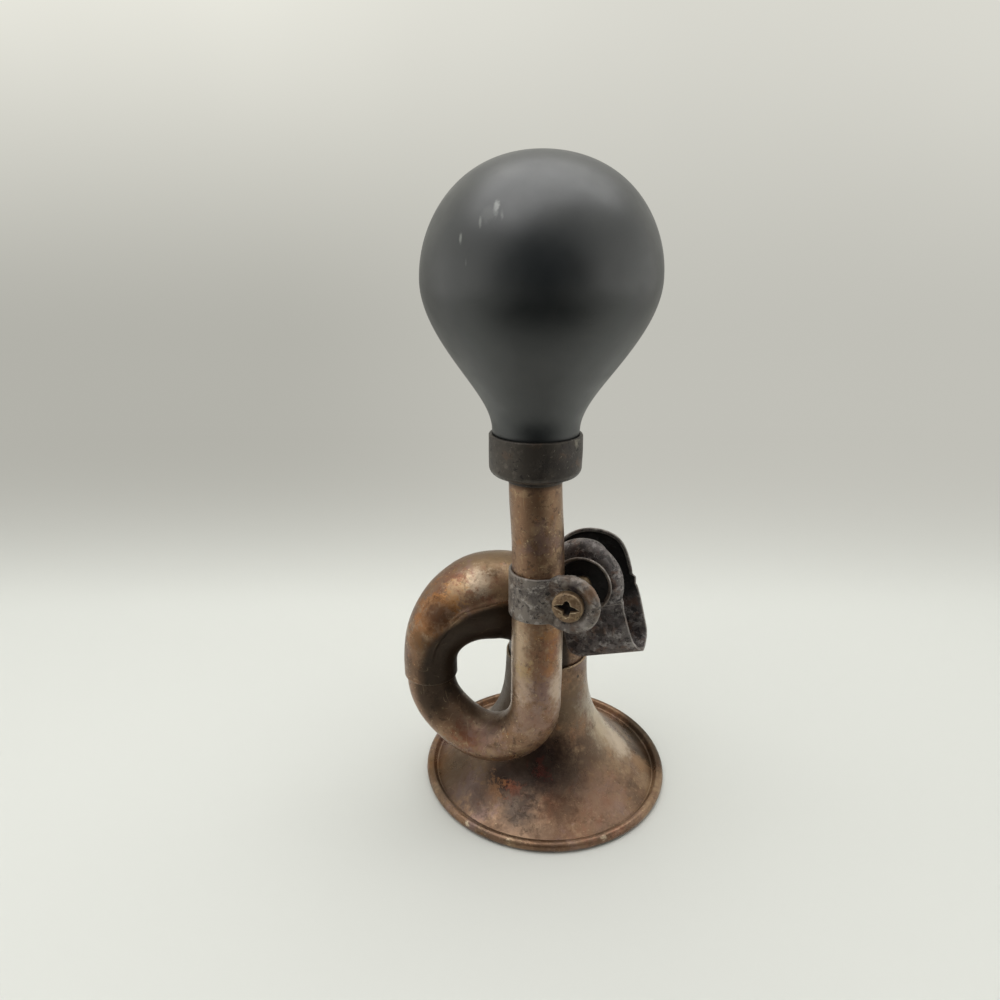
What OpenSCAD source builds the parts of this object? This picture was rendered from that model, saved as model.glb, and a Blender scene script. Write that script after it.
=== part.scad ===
// Bulb horn: rubber bulb, reed, looped brass tube, flared bell and handlebar clip.
// Millimetres, +Z up. The horn stands on the mouth of its bell at z = 0.

/* [Bell] */
// Diameter over the rolled rim
bell_d = 72; // [64:0.5:84]
// Height of the bell from the rest plane to its throat edge
bell_h = 40; // [34:0.5:50]
// Outside diameter of the throat
throat_d = 23.4; // [21:0.1:26]
// Thickness of the bell sheet
bell_wall = 0.7; // [0.5:0.05:1]
// How sharply the flare opens at the mouth
flare_power = 3.1; // [2:0.1:5]
// Widening of the throat per millimetre of height
flare_slope = 0.03; // [0:0.005:0.08]
// Diameter of the wire inside the rolled rim
rim_wire_d = 1.4; // [1:0.1:2]

/* [Horn tube] */
// Outside diameter of the tube under the collar
tube_top_d = 12.6; // [11:0.1:14]
// Outside diameter of the tube at the lower bend
tube_bend_d = 13.2; // [12:0.1:15]
// Thickness of the tube wall
tube_wall = 0.8; // [0.5:0.05:1.2]
// Height of the top end of the tube
tube_top_z = 99.9; // [96:0.1:115]
// Height at which the lower bend starts
bend_z = 38; // [35:0.1:38.5]
// Distance of the tube axis to the left of the bell axis
tube_left = 4.2; // [3:0.1:7]
// Distance of the tube axis in front of the bell axis
tube_front = 22.3; // [22.1:0.1:24]

/* [Loop] */
// Distance of the loop's left leg to the left of the bell axis
leg_left = 32.8; // [31:0.1:38]
// Distance of the loop's left leg in front of the bell axis
leg_front = 10.5; // [8:0.1:13]
// Height of the joint between tube and crook
joint_z = 39; // [38.6:0.1:40]
// Depth of the soldered sockets
socket_depth = 3; // [2:0.1:3.6]
// Height at which the crook starts to bend
crook_z = 42.8; // [42.7:0.1:50]
// Greatest outside diameter of the crook
crook_d = 24.4; // [22:0.1:25]
// Thickness of the crook's sheet
crook_wall = 0.6; // [0.4:0.05:0.9]
// Angle of the bend over which the crook widens
crook_spread_angle = 92; // [70:1:120]
// Height of the brazed seam along the crook
seam_h = 0.35; // [0.1:0.05:0.6]

/* [Bulb and collar] */
// Diameter of the bulb
bulb_d = 52.2; // [46:0.2:64]
// Height of the middle of the bulb above the top of the tube
bulb_rise = 43.6; // [38:0.1:52]
// Thickness of the rubber
bulb_wall = 2.4; // [1.6:0.1:2.6]
// Outside diameter of the collar
collar_d = 21.7; // [20.9:0.1:25]
// Height of the collar
collar_h = 9.8; // [8.6:0.1:13]
// Thickness of the collar sheet
collar_wall = 0.9; // [0.6:0.05:1]
// Radius of the collar's lower edge
collar_corner = 2; // [1.2:0.1:2.4]
// Outside diameter of the ring under the collar
tube_ring_d = 15.3; // [15:0.1:18]
// Height of the ring under the collar
tube_ring_h = 2.2; // [1.4:0.1:3]
// Outside diameter of the nipple's stem
nipple_d = 11.8; // [11.4:0.1:12.2]
// Thickness of the nipple wall
nipple_wall = 0.8; // [0.5:0.05:1]
// Diameter of the nipple's flange
nipple_flange_d = 17.6; // [15:0.1:18.4]
// Thickness of the nipple's flange
nipple_flange_h = 1; // [0.7:0.1:1.4]
// Thickness of the leather washer
neck_washer_h = 0.8; // [0.5:0.1:1.2]
// Diameter of the wire that binds the rubber neck
binding_d = 1.2; // [0.8:0.1:1.4]

/* [Reed] */
// Distance of the reed plug's lower face below the top of the tube
reed_drop = 21.6; // [19:0.1:30]
// Length of the plug
reed_plug_h = 4; // [3:0.1:6]
// Length of the slotted half tube above the plug
reed_tube_h = 15; // [13:0.1:16]
// Diameter of the slotted half tube
reed_tube_d = 6.4; // [6:0.1:7]
// Bore of the half tube
reed_bore_d = 4; // [3.4:0.1:4.4]
// Distance of the flat face from the axis
reed_flat = 1; // [0.8:0.05:1.2]
// Width of the tongue
reed_w = 4.6; // [4.2:0.1:5]
// Thickness of the tongue
reed_t = 0.3; // [0.2:0.05:0.4]
// Angle at which the tongue stands off its seat
reed_lift_angle = 3; // [2:0.25:4]
// Height of the wedge that grips the tongue
reed_grip = 2; // [1.6:0.1:2.6]

/* [Clamp] */
// Turn of the clamp round the tube, to the front
clamp_yaw_angle = 22; // [21:0.5:34]
// Height of the clamp screw
clamp_z = 69.8; // [69.4:0.1:76]
// Height of the strap
strap_h = 11.2; // [9:0.1:12]
// Thickness of the strap sheet
strap_t = 0.8; // [0.6:0.05:1]
// Radius of the strap's front ear
ear_r = 7.8; // [7.4:0.1:9]
// How far the front ear's inner face stands in front of the tube axis
ear_front = 4.2; // [4:0.1:5]
// Radius of the bead round the front ear's dish
ear_bead_r = 1.4; // [1.2:0.1:1.7]
// Radius of the strap's cupped rear ear
cup_r = 7.6; // [7.2:0.1:8.2]
// Depth of the cupped rear ear
cup_h = 1.8; // [1.4:0.1:2]
// Diameter of the clamp screw
screw_d = 4; // [3.6:0.1:4.4]
// Diameter of the screw head
screw_head_d = 7.7; // [7:0.1:8.8]
// Height of the screw head
screw_head_h = 2.4; // [2:0.1:3]
// Width of the clip strip
clip_w = 18.4; // [15:0.1:19.5]
// Thickness of the clip strip
clip_t = 0.9; // [0.7:0.05:1.1]
// Clear width inside the clip
clip_gap = 7.2; // [6.8:0.1:7.4]
// Distance from the screw to the bottom of the clip
clip_drop = 23.1; // [20:0.1:24]
// Radius of the clip's round ends
clip_end_r = 11.1; // [10.6:0.1:12]
// Height of the raised boss on the clip's front end
boss_h = 1.8; // [1.4:0.1:2]
// Level below the screw at which the boss steps down to the strip
boss_stop = 6.5; // [4:0.1:7.5]
// Turn of the clip on the screw, lower end to the right
clip_tilt_angle = 18; // [16:0.5:28]
// Thickness of the plain washer
washer_h = 0.8; // [0.6:0.1:1.2]
// Thickness of the split washer
lock_washer_h = 1; // [0.8:0.1:1.4]
// Width of the nut across its flats
nut_flats = 7; // [6.6:0.1:8]
// Height of the nut
nut_h = 3.2; // [2.4:0.1:4]
// Length of screw that stands out of the nut
screw_tail = 1.8; // [0.5:0.1:4]

/* [Fits] */
// Radial gap filled by solder in sockets
solder_gap = 0.08; // [0.05:0.01:0.12]
// Radial gap of turning fits
running_gap = 0.06; // [0.03:0.01:0.1]
// Radial gap of washers, nut and clearance holes on the screw
screw_gap = 0.1; // [0.05:0.01:0.2]
// Gap between rubber and metal
rubber_gap = 0.3; // [0.25:0.01:0.4]
// Gap between pressed faces that may slide on each other
face_gap = 0.06; // [0.03:0.01:0.15]
// Free gap between parts that pass each other
pass_gap = 0.2; // [0.15:0.01:0.3]
// Gap round the root of the reed
reed_gap = 0.1; // [0.08:0.01:0.15]

/* [Hidden] */

$fn = 96;
eps = 0.01;

// Colours
rubber_color = [0.09, 0.10, 0.10];
leather_color = [0.35, 0.24, 0.15];
brass_color = [0.36, 0.24, 0.17];
bright_brass_color = [0.62, 0.50, 0.28];
dark_steel_color = [0.22, 0.21, 0.20];
screw_color = [0.42, 0.35, 0.24];

// Plan positions: the box of the whole horn is centred on the origin
tube_bend_r = tube_bend_d / 2;
crook_start_r = tube_bend_r + solder_gap + crook_wall;
bell_pos = [leg_left + crook_start_r - bell_d / 2, tube_front + bulb_d / 2 - bell_d / 2] / 2;
tube_pos = bell_pos - [tube_left, tube_front];
leg_pos = bell_pos - [leg_left, leg_front];

// Radius of the tube's outside at a height on the straight run
function tube_r(z) = let (k = (z - bend_z) / (tube_top_z - bend_z))
    (tube_bend_d + (tube_top_d - tube_bend_d) * k) / 2;

// Points of a cubic curve through p[0] and p[3], steered by p[1] and p[2]
function cubic(p, t) =
    pow(1 - t, 3) * p[0] + 3 * t * pow(1 - t, 2) * p[1] + 3 * t * t * (1 - t) * p[2] + pow(t, 3) * p[3];
function cubic_dir(p, t) =
    pow(1 - t, 2) * (p[1] - p[0]) + 2 * t * (1 - t) * (p[2] - p[1]) + t * t * (p[3] - p[2]);
// The same curve moved to its left by d
function cubic_left(p, t, d) = let (v = cubic_dir(p, t)) cubic(p, t) + d * [-v.y, v.x] / norm(v);
// Soft step from 0 to 1
function smooth(u) = let (c = min(1, max(0, u))) c * c * (3 - 2 * c);

module ring(r_out, r_in, h) {
    linear_extrude(h) difference() {
        circle(r_out);
        circle(r_in);
    }
}

module at_tube(z = 0) {
    translate([tube_pos.x, tube_pos.y, z]) children();
}

module at_bell(z = 0) {
    translate([bell_pos.x, bell_pos.y, z]) children();
}

// Bell: flare, throat socket and rolled rim

roll_r_in = rim_wire_d / 2 + running_gap;
roll_r = roll_r_in + bell_wall;
roll_centre = [bell_d / 2 - roll_r, roll_r];
throat_ri = throat_d / 2 - bell_wall;
// Share of the roll's radius that the flare runs in under the roll
mouth_tuck = 0.9;
mouth_ri = roll_centre.x - roll_r * mouth_tuck;
flare_steps = 30;
// How much the flare's stations crowd towards the mouth
flare_crowding = 1.6;
// Angle at which the rolled edge ends, counted from the outside over the top
roll_end_angle = 150;

function flare_r(z) = let (u = (bell_h - z) / bell_h)
    throat_ri + flare_slope * (bell_h - z)
    + (mouth_ri - throat_ri - flare_slope * bell_h) * pow(u, flare_power);
function flare_run(z) = (flare_r(z + eps) - flare_r(z - eps)) / (2 * eps);
function flare_outside(z) = let (n = [1, -flare_run(z)] / norm([1, flare_run(z)]))
    [flare_r(z), z] + bell_wall * n;
flare_z = [for (i = [0 : flare_steps]) bell_h * pow(1 - i / flare_steps, flare_crowding)];

module bell_profile() {
    inside = [for (z = flare_z) [flare_r(z), z]];
    outside = [for (z = flare_z) flare_outside(z)];
    top = [[throat_ri, bell_h], [throat_ri + bell_wall, bell_h]];
    polygon(concat([top[1], top[0]], [for (i = [1 : flare_steps]) inside[i]],
        [[roll_centre.x, 0], [roll_centre.x, bell_wall]],
        [for (i = [flare_steps - 1 : -1 : 1]) outside[i]]));
    translate(roll_centre) difference() {
        circle(roll_r);
        circle(roll_r_in);
        polygon([[0, 0], [0, -2 * roll_r], [-3 * roll_r, -2 * roll_r],
            [4 * cos(roll_end_angle), 4 * sin(roll_end_angle)] * roll_r]);
    }
}

module bell() {
    color(brass_color) at_bell() rotate_extrude() bell_profile();
}

module rim_wire() {
    color(bright_brass_color) at_bell() rotate_extrude()
        translate(roll_centre) circle(rim_wire_d / 2);
}

// Horn tube: tapered straight run, lower bend and short left leg

bend_dir = (leg_pos - tube_pos) / norm(leg_pos - tube_pos);
bend_angle = atan2(bend_dir.y, bend_dir.x);
bend_r = norm(leg_pos - tube_pos) / 2;
leg_top_z = joint_z + socket_depth;

module tube_taper() {
    rotate_extrude() polygon([
        [tube_bend_r - tube_wall, bend_z], [tube_bend_r, bend_z],
        [tube_top_d / 2, tube_top_z], [tube_top_d / 2 - tube_wall, tube_top_z]]);
}

module lower_bend() {
    translate([bend_r, 0, bend_z]) rotate([90, 0, 0]) rotate([0, 0, 180])
        rotate_extrude(angle = 180) translate([bend_r, 0]) difference() {
            circle(tube_bend_r);
            circle(tube_bend_r - tube_wall);
        }
}

module horn_tube() {
    color(brass_color) at_tube() rotate([0, 0, bend_angle]) {
        rotate([0, 0, 180]) tube_taper();
        lower_bend();
        translate([2 * bend_r, 0, bend_z])
            ring(tube_bend_r, tube_bend_r - tube_wall, leg_top_z - bend_z);
    }
}

// Upper crook: a tapering sweep with a brazed seam along its front

crook_dir = (bell_pos - leg_pos) / norm(bell_pos - leg_pos);
crook_bend_r = norm(bell_pos - leg_pos) / 2;
crook_mid = (bell_pos + leg_pos) / 2;
crook_end_r = throat_ri - solder_gap;
crook_arc_rings = 24;
crook_sides = 40;
// Place of the seam round the section: 90 degrees is straight in front
seam_angle = 72;
seam_side = round(seam_angle / 360 * crook_sides);
// Angle of the bend over which the seam fades out at each end
seam_fade_angle = 20;
// Angle over which the crook keeps its greatest width, and the angle where it has narrowed again
crook_hold_angle = 15;
crook_narrow_angle = 175;

function crook_r(a) = let (full = crook_spread_angle + crook_hold_angle)
    crook_start_r + (crook_d / 2 - crook_start_r) * smooth(a / crook_spread_angle)
    + (crook_end_r - crook_d / 2) * smooth((a - full) / (crook_narrow_angle - full));
// Stations along the crook: [angle of the bend, height of the station or of the bend's centre]
crook_stations = concat([[0, joint_z], [0, leg_top_z + face_gap]],
    [for (i = [0 : crook_arc_rings]) [180 * i / crook_arc_rings, crook_z]],
    [[180, bell_h + face_gap], [180, bell_h - socket_depth]]);
function crook_centre(s) = let (c = crook_mid - crook_bend_r * cos(s[0]) * crook_dir)
    [c.x, c.y, s[1] + crook_bend_r * sin(s[0])];
function crook_point(s, r, side) = let (
    a = 360 * side / crook_sides,
    along = [-cos(s[0]) * crook_dir.x, -cos(s[0]) * crook_dir.y, sin(s[0])],
    across = [crook_dir.y, -crook_dir.x, 0])
    crook_centre(s) + r * (cos(a) * along + sin(a) * across);
// The seam fades out towards both sockets
function seam(a) = seam_h * smooth(a / seam_fade_angle) * smooth((180 - a) / seam_fade_angle);
function crook_ring(s, inset) = let (r = crook_r(s[0]))
    [for (k = [0 : crook_sides - 1])
        crook_point(s, inset > 0 ? r - inset : r + (k == seam_side ? seam(s[0]) : 0), k)];
function band(base, k, up) = let (a = base + k, b = base + (k + 1) % crook_sides)
    up ? [[a, b, b + crook_sides], [a, b + crook_sides, a + crook_sides]]
       : [[a, b + crook_sides, b], [a, a + crook_sides, b + crook_sides]];
// Closing faces between the outer and the inner ring at one end
function end_band(outer, inner, k, up) = let (n = (k + 1) % crook_sides)
    up ? [[outer + k, inner + k, inner + n], [outer + k, inner + n, outer + n]]
       : [[outer + k, inner + n, inner + k], [outer + k, outer + n, inner + n]];

module upper_crook() {
    count = len(crook_stations);
    sides = [0 : crook_sides - 1];
    inner_base = count * crook_sides;
    points = concat(
        [for (s = crook_stations) each crook_ring(s, 0)],
        [for (s = crook_stations) each crook_ring(s, crook_wall)]);
    last = (count - 1) * crook_sides;
    faces = concat(
        [for (i = [0 : count - 2]) for (k = sides) each band(i * crook_sides, k, false)],
        [for (i = [0 : count - 2]) for (k = sides) each band(inner_base + i * crook_sides, k, true)],
        [for (k = sides) each end_band(0, inner_base, k, false)],
        [for (k = sides) each end_band(last, inner_base + last, k, true)]);
    color(brass_color) polyhedron(points, faces);
}

// Collar, nipple, washer and ring at the top of the tube

collar_r = collar_d / 2;
collar_ri = collar_r - collar_wall;
spigot_r = tube_top_d / 2 - tube_wall - solder_gap;
washer_z = tube_top_z + collar_wall;
flange_z = washer_z + neck_washer_h;
stem_z = flange_z + nipple_flange_h;
collar_top_z = tube_top_z + collar_h;
stem_top_z = collar_top_z;

module collar_profile() {
    difference() {
        union() {
            translate([0, collar_corner]) square([collar_r, collar_h - collar_corner]);
            square([collar_r - collar_corner, collar_corner]);
            translate([collar_r - collar_corner, collar_corner]) circle(collar_corner);
        }
        translate([0, collar_wall]) square([collar_r - collar_corner, collar_h]);
        translate([0, collar_corner]) square([collar_ri, collar_h]);
        translate([collar_r - collar_corner, collar_corner]) circle(collar_corner - collar_wall);
        translate([0, -eps]) square([spigot_r + solder_gap, collar_h]);
    }
}

module bulb_collar() {
    color(dark_steel_color) at_tube(tube_top_z) rotate_extrude() collar_profile();
}

module tube_ring() {
    z = tube_top_z - tube_ring_h;
    color(dark_steel_color) at_tube(z)
        ring(tube_ring_d / 2, tube_r(z) + solder_gap, tube_ring_h);
}

module neck_washer() {
    color(leather_color) at_tube(washer_z)
        ring(nipple_flange_d / 2, spigot_r + solder_gap, neck_washer_h);
}

module neck_nipple() {
    spigot_z = tube_top_z - tube_ring_h;
    bore_r = spigot_r - nipple_wall;
    color(bright_brass_color) at_tube() rotate_extrude() polygon([
        [bore_r, spigot_z], [spigot_r, spigot_z], [spigot_r, flange_z],
        [nipple_flange_d / 2, flange_z], [nipple_flange_d / 2, stem_z],
        [nipple_d / 2, stem_z], [nipple_d / 2, stem_top_z], [bore_r, stem_top_z]]);
}

// Bulb: round head, drawn in to a neck that sits inside the collar

bulb_r = bulb_d / 2;
bulb_z = tube_top_z + bulb_rise;
neck_r = collar_ri - rubber_gap;
neck_ri = nipple_d / 2 + rubber_gap;
neck_foot_r = collar_ri - pass_gap - binding_d - rubber_gap;
neck_foot_z = stem_z + rubber_gap;
neck_step_z = neck_foot_z + binding_d + 2 * rubber_gap;
bulb_steps = 20;
// Shares of the height at which the curve leaves the neck and comes up to the full width
bulb_leave = 0.31;
bulb_fill = 0.64;
bulb_reach = bulb_z - collar_top_z;
bulb_side = [[neck_r, collar_top_z], [neck_r + pass_gap, collar_top_z + bulb_leave * bulb_reach],
    [bulb_r, collar_top_z + bulb_fill * bulb_reach], [bulb_r, bulb_z]];

module bulb_half(outer) {
    d = outer ? 0 : bulb_wall;
    side = [for (i = [0 : bulb_steps]) cubic_left(bulb_side, i / bulb_steps, d)];
    polygon(concat([[0, collar_top_z]], side, [[0, bulb_z]]));
    intersection() {
        translate([0, bulb_z]) circle(bulb_r - d);
        translate([0, bulb_z - eps]) square([bulb_r, bulb_r]);
    }
}

module bulb() {
    shoulder_z = neck_step_z + (neck_r - neck_foot_r);
    color(rubber_color) at_tube() rotate_extrude() difference() {
        union() {
            bulb_half(true);
            polygon([[0, neck_foot_z], [neck_foot_r, neck_foot_z], [neck_foot_r, neck_step_z],
                [neck_r, shoulder_z], [neck_r, collar_top_z + eps], [0, collar_top_z + eps]]);
        }
        bulb_half(false);
        translate([0, neck_foot_z - 1]) square([neck_ri, collar_top_z - neck_foot_z + 2]);
    }
}

module neck_binding() {
    color(bright_brass_color) at_tube(neck_foot_z + rubber_gap + binding_d / 2) rotate_extrude()
        translate([collar_ri - pass_gap - binding_d / 2, 0]) circle(binding_d / 2);
}

// Reed: plug with a slotted half tube, tongue and wedge ring

reed_z = tube_top_z - reed_drop;
reed_seat_z = reed_z + reed_plug_h;
reed_top_z = reed_seat_z + reed_tube_h;
reed_root_z = reed_top_z - reed_grip / 2 - reed_gap;
plug_r = tube_r(reed_seat_z) - tube_wall - solder_gap;
reed_tip_z = reed_seat_z + 1;
wedge_ring_ri = reed_tube_d / 2 + solder_gap;
wedge_ring_r = wedge_ring_ri + 1;
// Solid end of the half tube above its bore
reed_cap = reed_grip + 1.5;

module reed_holder() {
    color(bright_brass_color) at_tube() difference() {
        union() {
            translate([0, 0, reed_z]) cylinder(r = plug_r, h = reed_plug_h);
            translate([0, 0, reed_seat_z - eps]) cylinder(d = reed_tube_d, h = reed_tube_h + eps);
        }
        translate([0, 0, reed_z - 1])
            cylinder(d = reed_bore_d, h = reed_plug_h + reed_tube_h + 1 - reed_cap);
        translate([reed_flat, -reed_tube_d, reed_seat_z])
            cube([reed_tube_d, 2 * reed_tube_d, reed_tube_h + 1]);
    }
}

module reed_tongue() {
    root_x = reed_flat + reed_gap;
    foot = [0, -reed_grip / 2];
    length = reed_root_z + foot.y - reed_tip_z;
    tip = foot + length * [sin(reed_lift_angle), -cos(reed_lift_angle)];
    color(bright_brass_color) at_tube(reed_root_z) translate([root_x, 0, 0]) rotate([90, 0, 0])
        linear_extrude(reed_w, center = true) polygon([
            -foot, foot, tip, tip + reed_t * [cos(reed_lift_angle), sin(reed_lift_angle)],
            foot + reed_t * [1, tan(reed_lift_angle / 2)], [reed_t, 0] - foot]);
}

module reed_wedge() {
    wedge_x = reed_flat + 2 * reed_gap + reed_t;
    color(bright_brass_color) at_tube(reed_root_z - reed_grip / 2) {
        ring(wedge_ring_r, wedge_ring_ri, reed_grip);
        intersection() {
            cylinder(r = wedge_ring_ri + eps, h = reed_grip);
            translate([wedge_x, -reed_tube_d, 0]) cube([reed_tube_d, 2 * reed_tube_d, reed_grip]);
        }
    }
}

// Clamp frame: x points along the ears, y away from the front ear, origin on the tube axis

strap_ri = tube_r(clamp_z - strap_h / 2) + running_gap;
strap_ro = strap_ri + strap_t;
screw_x = strap_ro + pass_gap + screw_d / 2;
hole_r = screw_d / 2 + screw_gap;
pivot_r = screw_d / 2 + running_gap;
ear_y = -ear_front;
cup_back_y = strap_ri + cup_h;
boss_y = cup_back_y + face_gap;
clip_y = boss_y + boss_h;
clip_back_y = clip_y + clip_t + clip_gap;
washer_y = clip_back_y + clip_t;
lock_y = washer_y + washer_h;
nut_y = lock_y + lock_washer_h;
washer_r = 0.66 * nut_flats;
lock_washer_r = 0.54 * nut_flats;

module in_clamp() {
    at_tube(clamp_z) rotate([0, 0, -clamp_yaw_angle]) children();
}

// Children are drawn round +Z and laid along the screw, starting at the given y
module on_screw(y) {
    translate([screw_x, y, 0]) rotate([-90, 0, 0]) children();
}

// Band round the tube, open between the two ears, with a short run to the rear ear
module strap_plan() {
    far = 4 * strap_ro;
    leave = asin((ear_front + strap_t / 2) / strap_ri);
    difference() {
        circle(strap_ro);
        circle(strap_ri);
        polygon([[0, 0], [far * cos(leave), -far * sin(leave)], [far, far], [0, far]]);
    }
    translate([-eps, strap_ri]) square([screw_x - cup_r * cos(asin(strap_h / 2 / cup_r)) + eps, strap_t]);
}

// Half of a round bead in the sheet, on the side towards -y of its profile
module half_bead(r, t) {
    intersection() {
        difference() {
            circle(r);
            circle(r - t);
        }
        translate([-2 * r, -2 * r]) square([4 * r, 2 * r]);
    }
}

module front_ear() {
    floor_r = ear_r - 2 * ear_bead_r;
    on_screw(ear_y - strap_t) rotate_extrude() {
        translate([hole_r, 0]) square([floor_r + strap_t - hole_r, strap_t]);
        translate([ear_r - ear_bead_r, strap_t]) half_bead(ear_bead_r, strap_t);
    }
}

module rear_ear() {
    on_screw(strap_ri) rotate_extrude() {
        translate([hole_r, cup_h - strap_t]) square([cup_r - hole_r, strap_t]);
        translate([cup_r - strap_t, 0]) square([strap_t, cup_h]);
    }
}

module tube_strap() {
    color(dark_steel_color) in_clamp() difference() {
        union() {
            translate([0, 0, -strap_h / 2]) linear_extrude(strap_h) strap_plan();
            front_ear();
            rear_ear();
        }
        translate([0, 0, -strap_h]) cylinder(r = strap_ri, h = 2 * strap_h);
    }
}
// Flats that the dome of the screw head is turned from
dome_steps = 8;

// Half section of the pan head: a straight side under a domed top
module pan_profile() {
    head_r = screw_head_d / 2;
    side_h = screw_head_h / 2;
    dome_r = (pow(head_r, 2) + pow(side_h, 2)) / screw_head_h;
    dome_end = asin(head_r / dome_r);
    polygon(concat([[0, 0], [head_r, 0]],
        [for (i = [0:dome_steps]) let (a = dome_end * (1 - i / dome_steps))
            [dome_r * sin(a), screw_head_h - dome_r * (1 - cos(a))]]));
}

// Screw with a cross recess, from its head to its tail
module clamp_screw() {
    head_y = ear_y - strap_t - face_gap;
    length = nut_y + nut_h + screw_tail - head_y;
    slot = [0.78, 0.62] * screw_head_d;
    slot_w = screw_head_d / 8;
    slot_depth = 0.65 * screw_head_h;
    color(screw_color) in_clamp() difference() {
        union() {
            on_screw(head_y - eps) cylinder(d = screw_d, h = length + eps);
            on_screw(head_y) mirror([0, 0, 1]) rotate_extrude() pan_profile();
        }
        for (a = [0, 90]) translate([screw_x, head_y - screw_head_h, 0]) rotate([0, a, 0])
            cube([slot[a / 90], 2 * slot_depth, slot_w], center = true);
    }
}

// Clip: strip folded round the bar, a raised boss in front and a plain round end behind

module along_y(y) {
    translate([0, y, 0]) rotate([-90, 0, 0]) children();
}

module clip_strip() {
    bend_r_in = clip_gap / 2;
    bend_v = clip_drop - clip_t - bend_r_in;
    translate([-clip_w / 2, 0, 0]) rotate([90, 0, 90]) linear_extrude(clip_w) {
        translate([clip_y, -bend_v]) square([clip_t, bend_v - boss_stop]);
        translate([clip_back_y, -bend_v]) square([clip_t, bend_v]);
        translate([boss_y, -boss_stop - clip_t]) square([boss_h + clip_t, clip_t]);
        translate([clip_y + clip_t + bend_r_in, -bend_v]) half_bead(bend_r_in + clip_t, clip_t);
    }
}

// Pressed boss with a rounded shoulder, cut off above the flat strip
module clip_boss() {
    shoulder = boss_h + clip_t;
    far = 2 * clip_end_r;
    difference() {
        along_y(boss_y) rotate_extrude() {
            translate([pivot_r, 0]) square([clip_end_r - shoulder - pivot_r + eps, clip_t]);
            translate([clip_end_r - shoulder, shoulder]) intersection() {
                half_bead(shoulder, clip_t);
                translate([0, -far]) square([far, far]);
            }
        }
        translate([-far, 0, -far - boss_stop - eps]) cube([2 * far, 2 * clip_y, far]);
    }
}

module clip_back_end() {
    along_y(clip_back_y) difference() {
        cylinder(r = clip_end_r, h = clip_t);
        translate([0, 0, -eps]) cylinder(r = pivot_r, h = 2 * clip_t);
    }
}

module bar_clip() {
    color(dark_steel_color) in_clamp() translate([screw_x, 0, 0]) rotate([0, -clip_tilt_angle, 0]) {
        clip_boss();
        difference() {
            clip_strip();
            along_y(clip_back_y - eps) cylinder(r = pivot_r, h = 2 * clip_t);
        }
        clip_back_end();
    }
}

// Washers and nut behind the clip

module nut_washer() {
    color(dark_steel_color) in_clamp() on_screw(washer_y) ring(washer_r, hole_r, washer_h);
}

module lock_washer() {
    split = 0.8;
    color(dark_steel_color) in_clamp() on_screw(lock_y) difference() {
        ring(lock_washer_r, hole_r, lock_washer_h);
        translate([0, -split / 2, -eps]) cube([nut_flats, split, 2 * lock_washer_h]);
    }
}

module clamp_nut() {
    color(dark_steel_color) in_clamp() on_screw(nut_y) difference() {
        cylinder(d = nut_flats / cos(30), h = nut_h, $fn = 6);
        translate([0, 0, -eps]) cylinder(r = hole_r, h = 2 * nut_h);
    }
}

bulb();
bulb_collar();
neck_nipple();
neck_washer();
neck_binding();
tube_ring();
reed_holder();
reed_tongue();
reed_wedge();
horn_tube();
upper_crook();
bell();
rim_wire();
tube_strap();
clamp_screw();
bar_clip();
nut_washer();
lock_washer();
clamp_nut();
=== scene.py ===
"""Looks of a small hand-squeezed bulb horn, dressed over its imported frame."""

import logging
import math
from dataclasses import dataclass
from enum import Enum
from typing import Callable, Iterable, Sequence, Union

import bmesh
import bpy
import numpy as np
from bpy.types import ID, Material, Mesh, Node, NodeSocket, NodeTree, Object
from mathutils import Matrix, Vector


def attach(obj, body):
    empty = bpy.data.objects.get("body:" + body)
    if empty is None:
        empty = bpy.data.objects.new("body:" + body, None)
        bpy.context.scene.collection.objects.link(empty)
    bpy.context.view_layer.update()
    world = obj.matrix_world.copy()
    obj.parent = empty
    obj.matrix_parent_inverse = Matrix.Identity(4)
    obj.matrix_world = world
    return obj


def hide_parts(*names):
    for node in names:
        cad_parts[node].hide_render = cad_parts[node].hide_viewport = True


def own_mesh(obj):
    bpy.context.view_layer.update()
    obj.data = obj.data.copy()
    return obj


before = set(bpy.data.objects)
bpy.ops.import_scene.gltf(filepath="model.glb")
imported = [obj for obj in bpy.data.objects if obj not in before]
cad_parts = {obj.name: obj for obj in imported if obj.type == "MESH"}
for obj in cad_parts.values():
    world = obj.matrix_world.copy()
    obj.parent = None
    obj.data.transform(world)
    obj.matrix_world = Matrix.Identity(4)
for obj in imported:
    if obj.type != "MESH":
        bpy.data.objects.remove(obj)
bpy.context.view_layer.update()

LOG = logging.getLogger("bulb_horn")
MM = 0.001

Array = np.ndarray
Point = tuple[float, float, float]
Colour = tuple[float, float, float, float]
# Display colour, each channel from 0 to 255
Tone = tuple[int, int, int]
Value = Union[float, Sequence[float], NodeSocket]
# Places, and the values at them
Table = tuple[tuple[float, ...], tuple[float, ...]]
# Length and height of a ripple in millimetres, and its seed
Wave = tuple[float, float, int]

BELL_AXIS = (2.04, 6.2)
TUBE_AXIS = (-2.16, -16.1)
LEG_AXIS = (-30.76, -4.3)
TUBE_TOP = 99.9
COLLAR_TOP = 109.7
UP = np.array([0, 0, 1.0])
# Shift along X, the height at which it starts and the rise over which it grows, in millimetres
LEANS = ((-1.2, 74, 30), (0.5, 112, 40))
# Height of the full relief in metres, and the seeds of the scratches
BUMP_DEPTH = 0.0003
SCRATCH_SEEDS = (0.0, 7.0, 15.0)
# Changes of roughness by painted shade with some dirt, wear and dust
SHADE_AND_DIRT_ROUGH, WORN_ROUGH, DUST_ROUGH = 0.15, -0.12, 0.2


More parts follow.
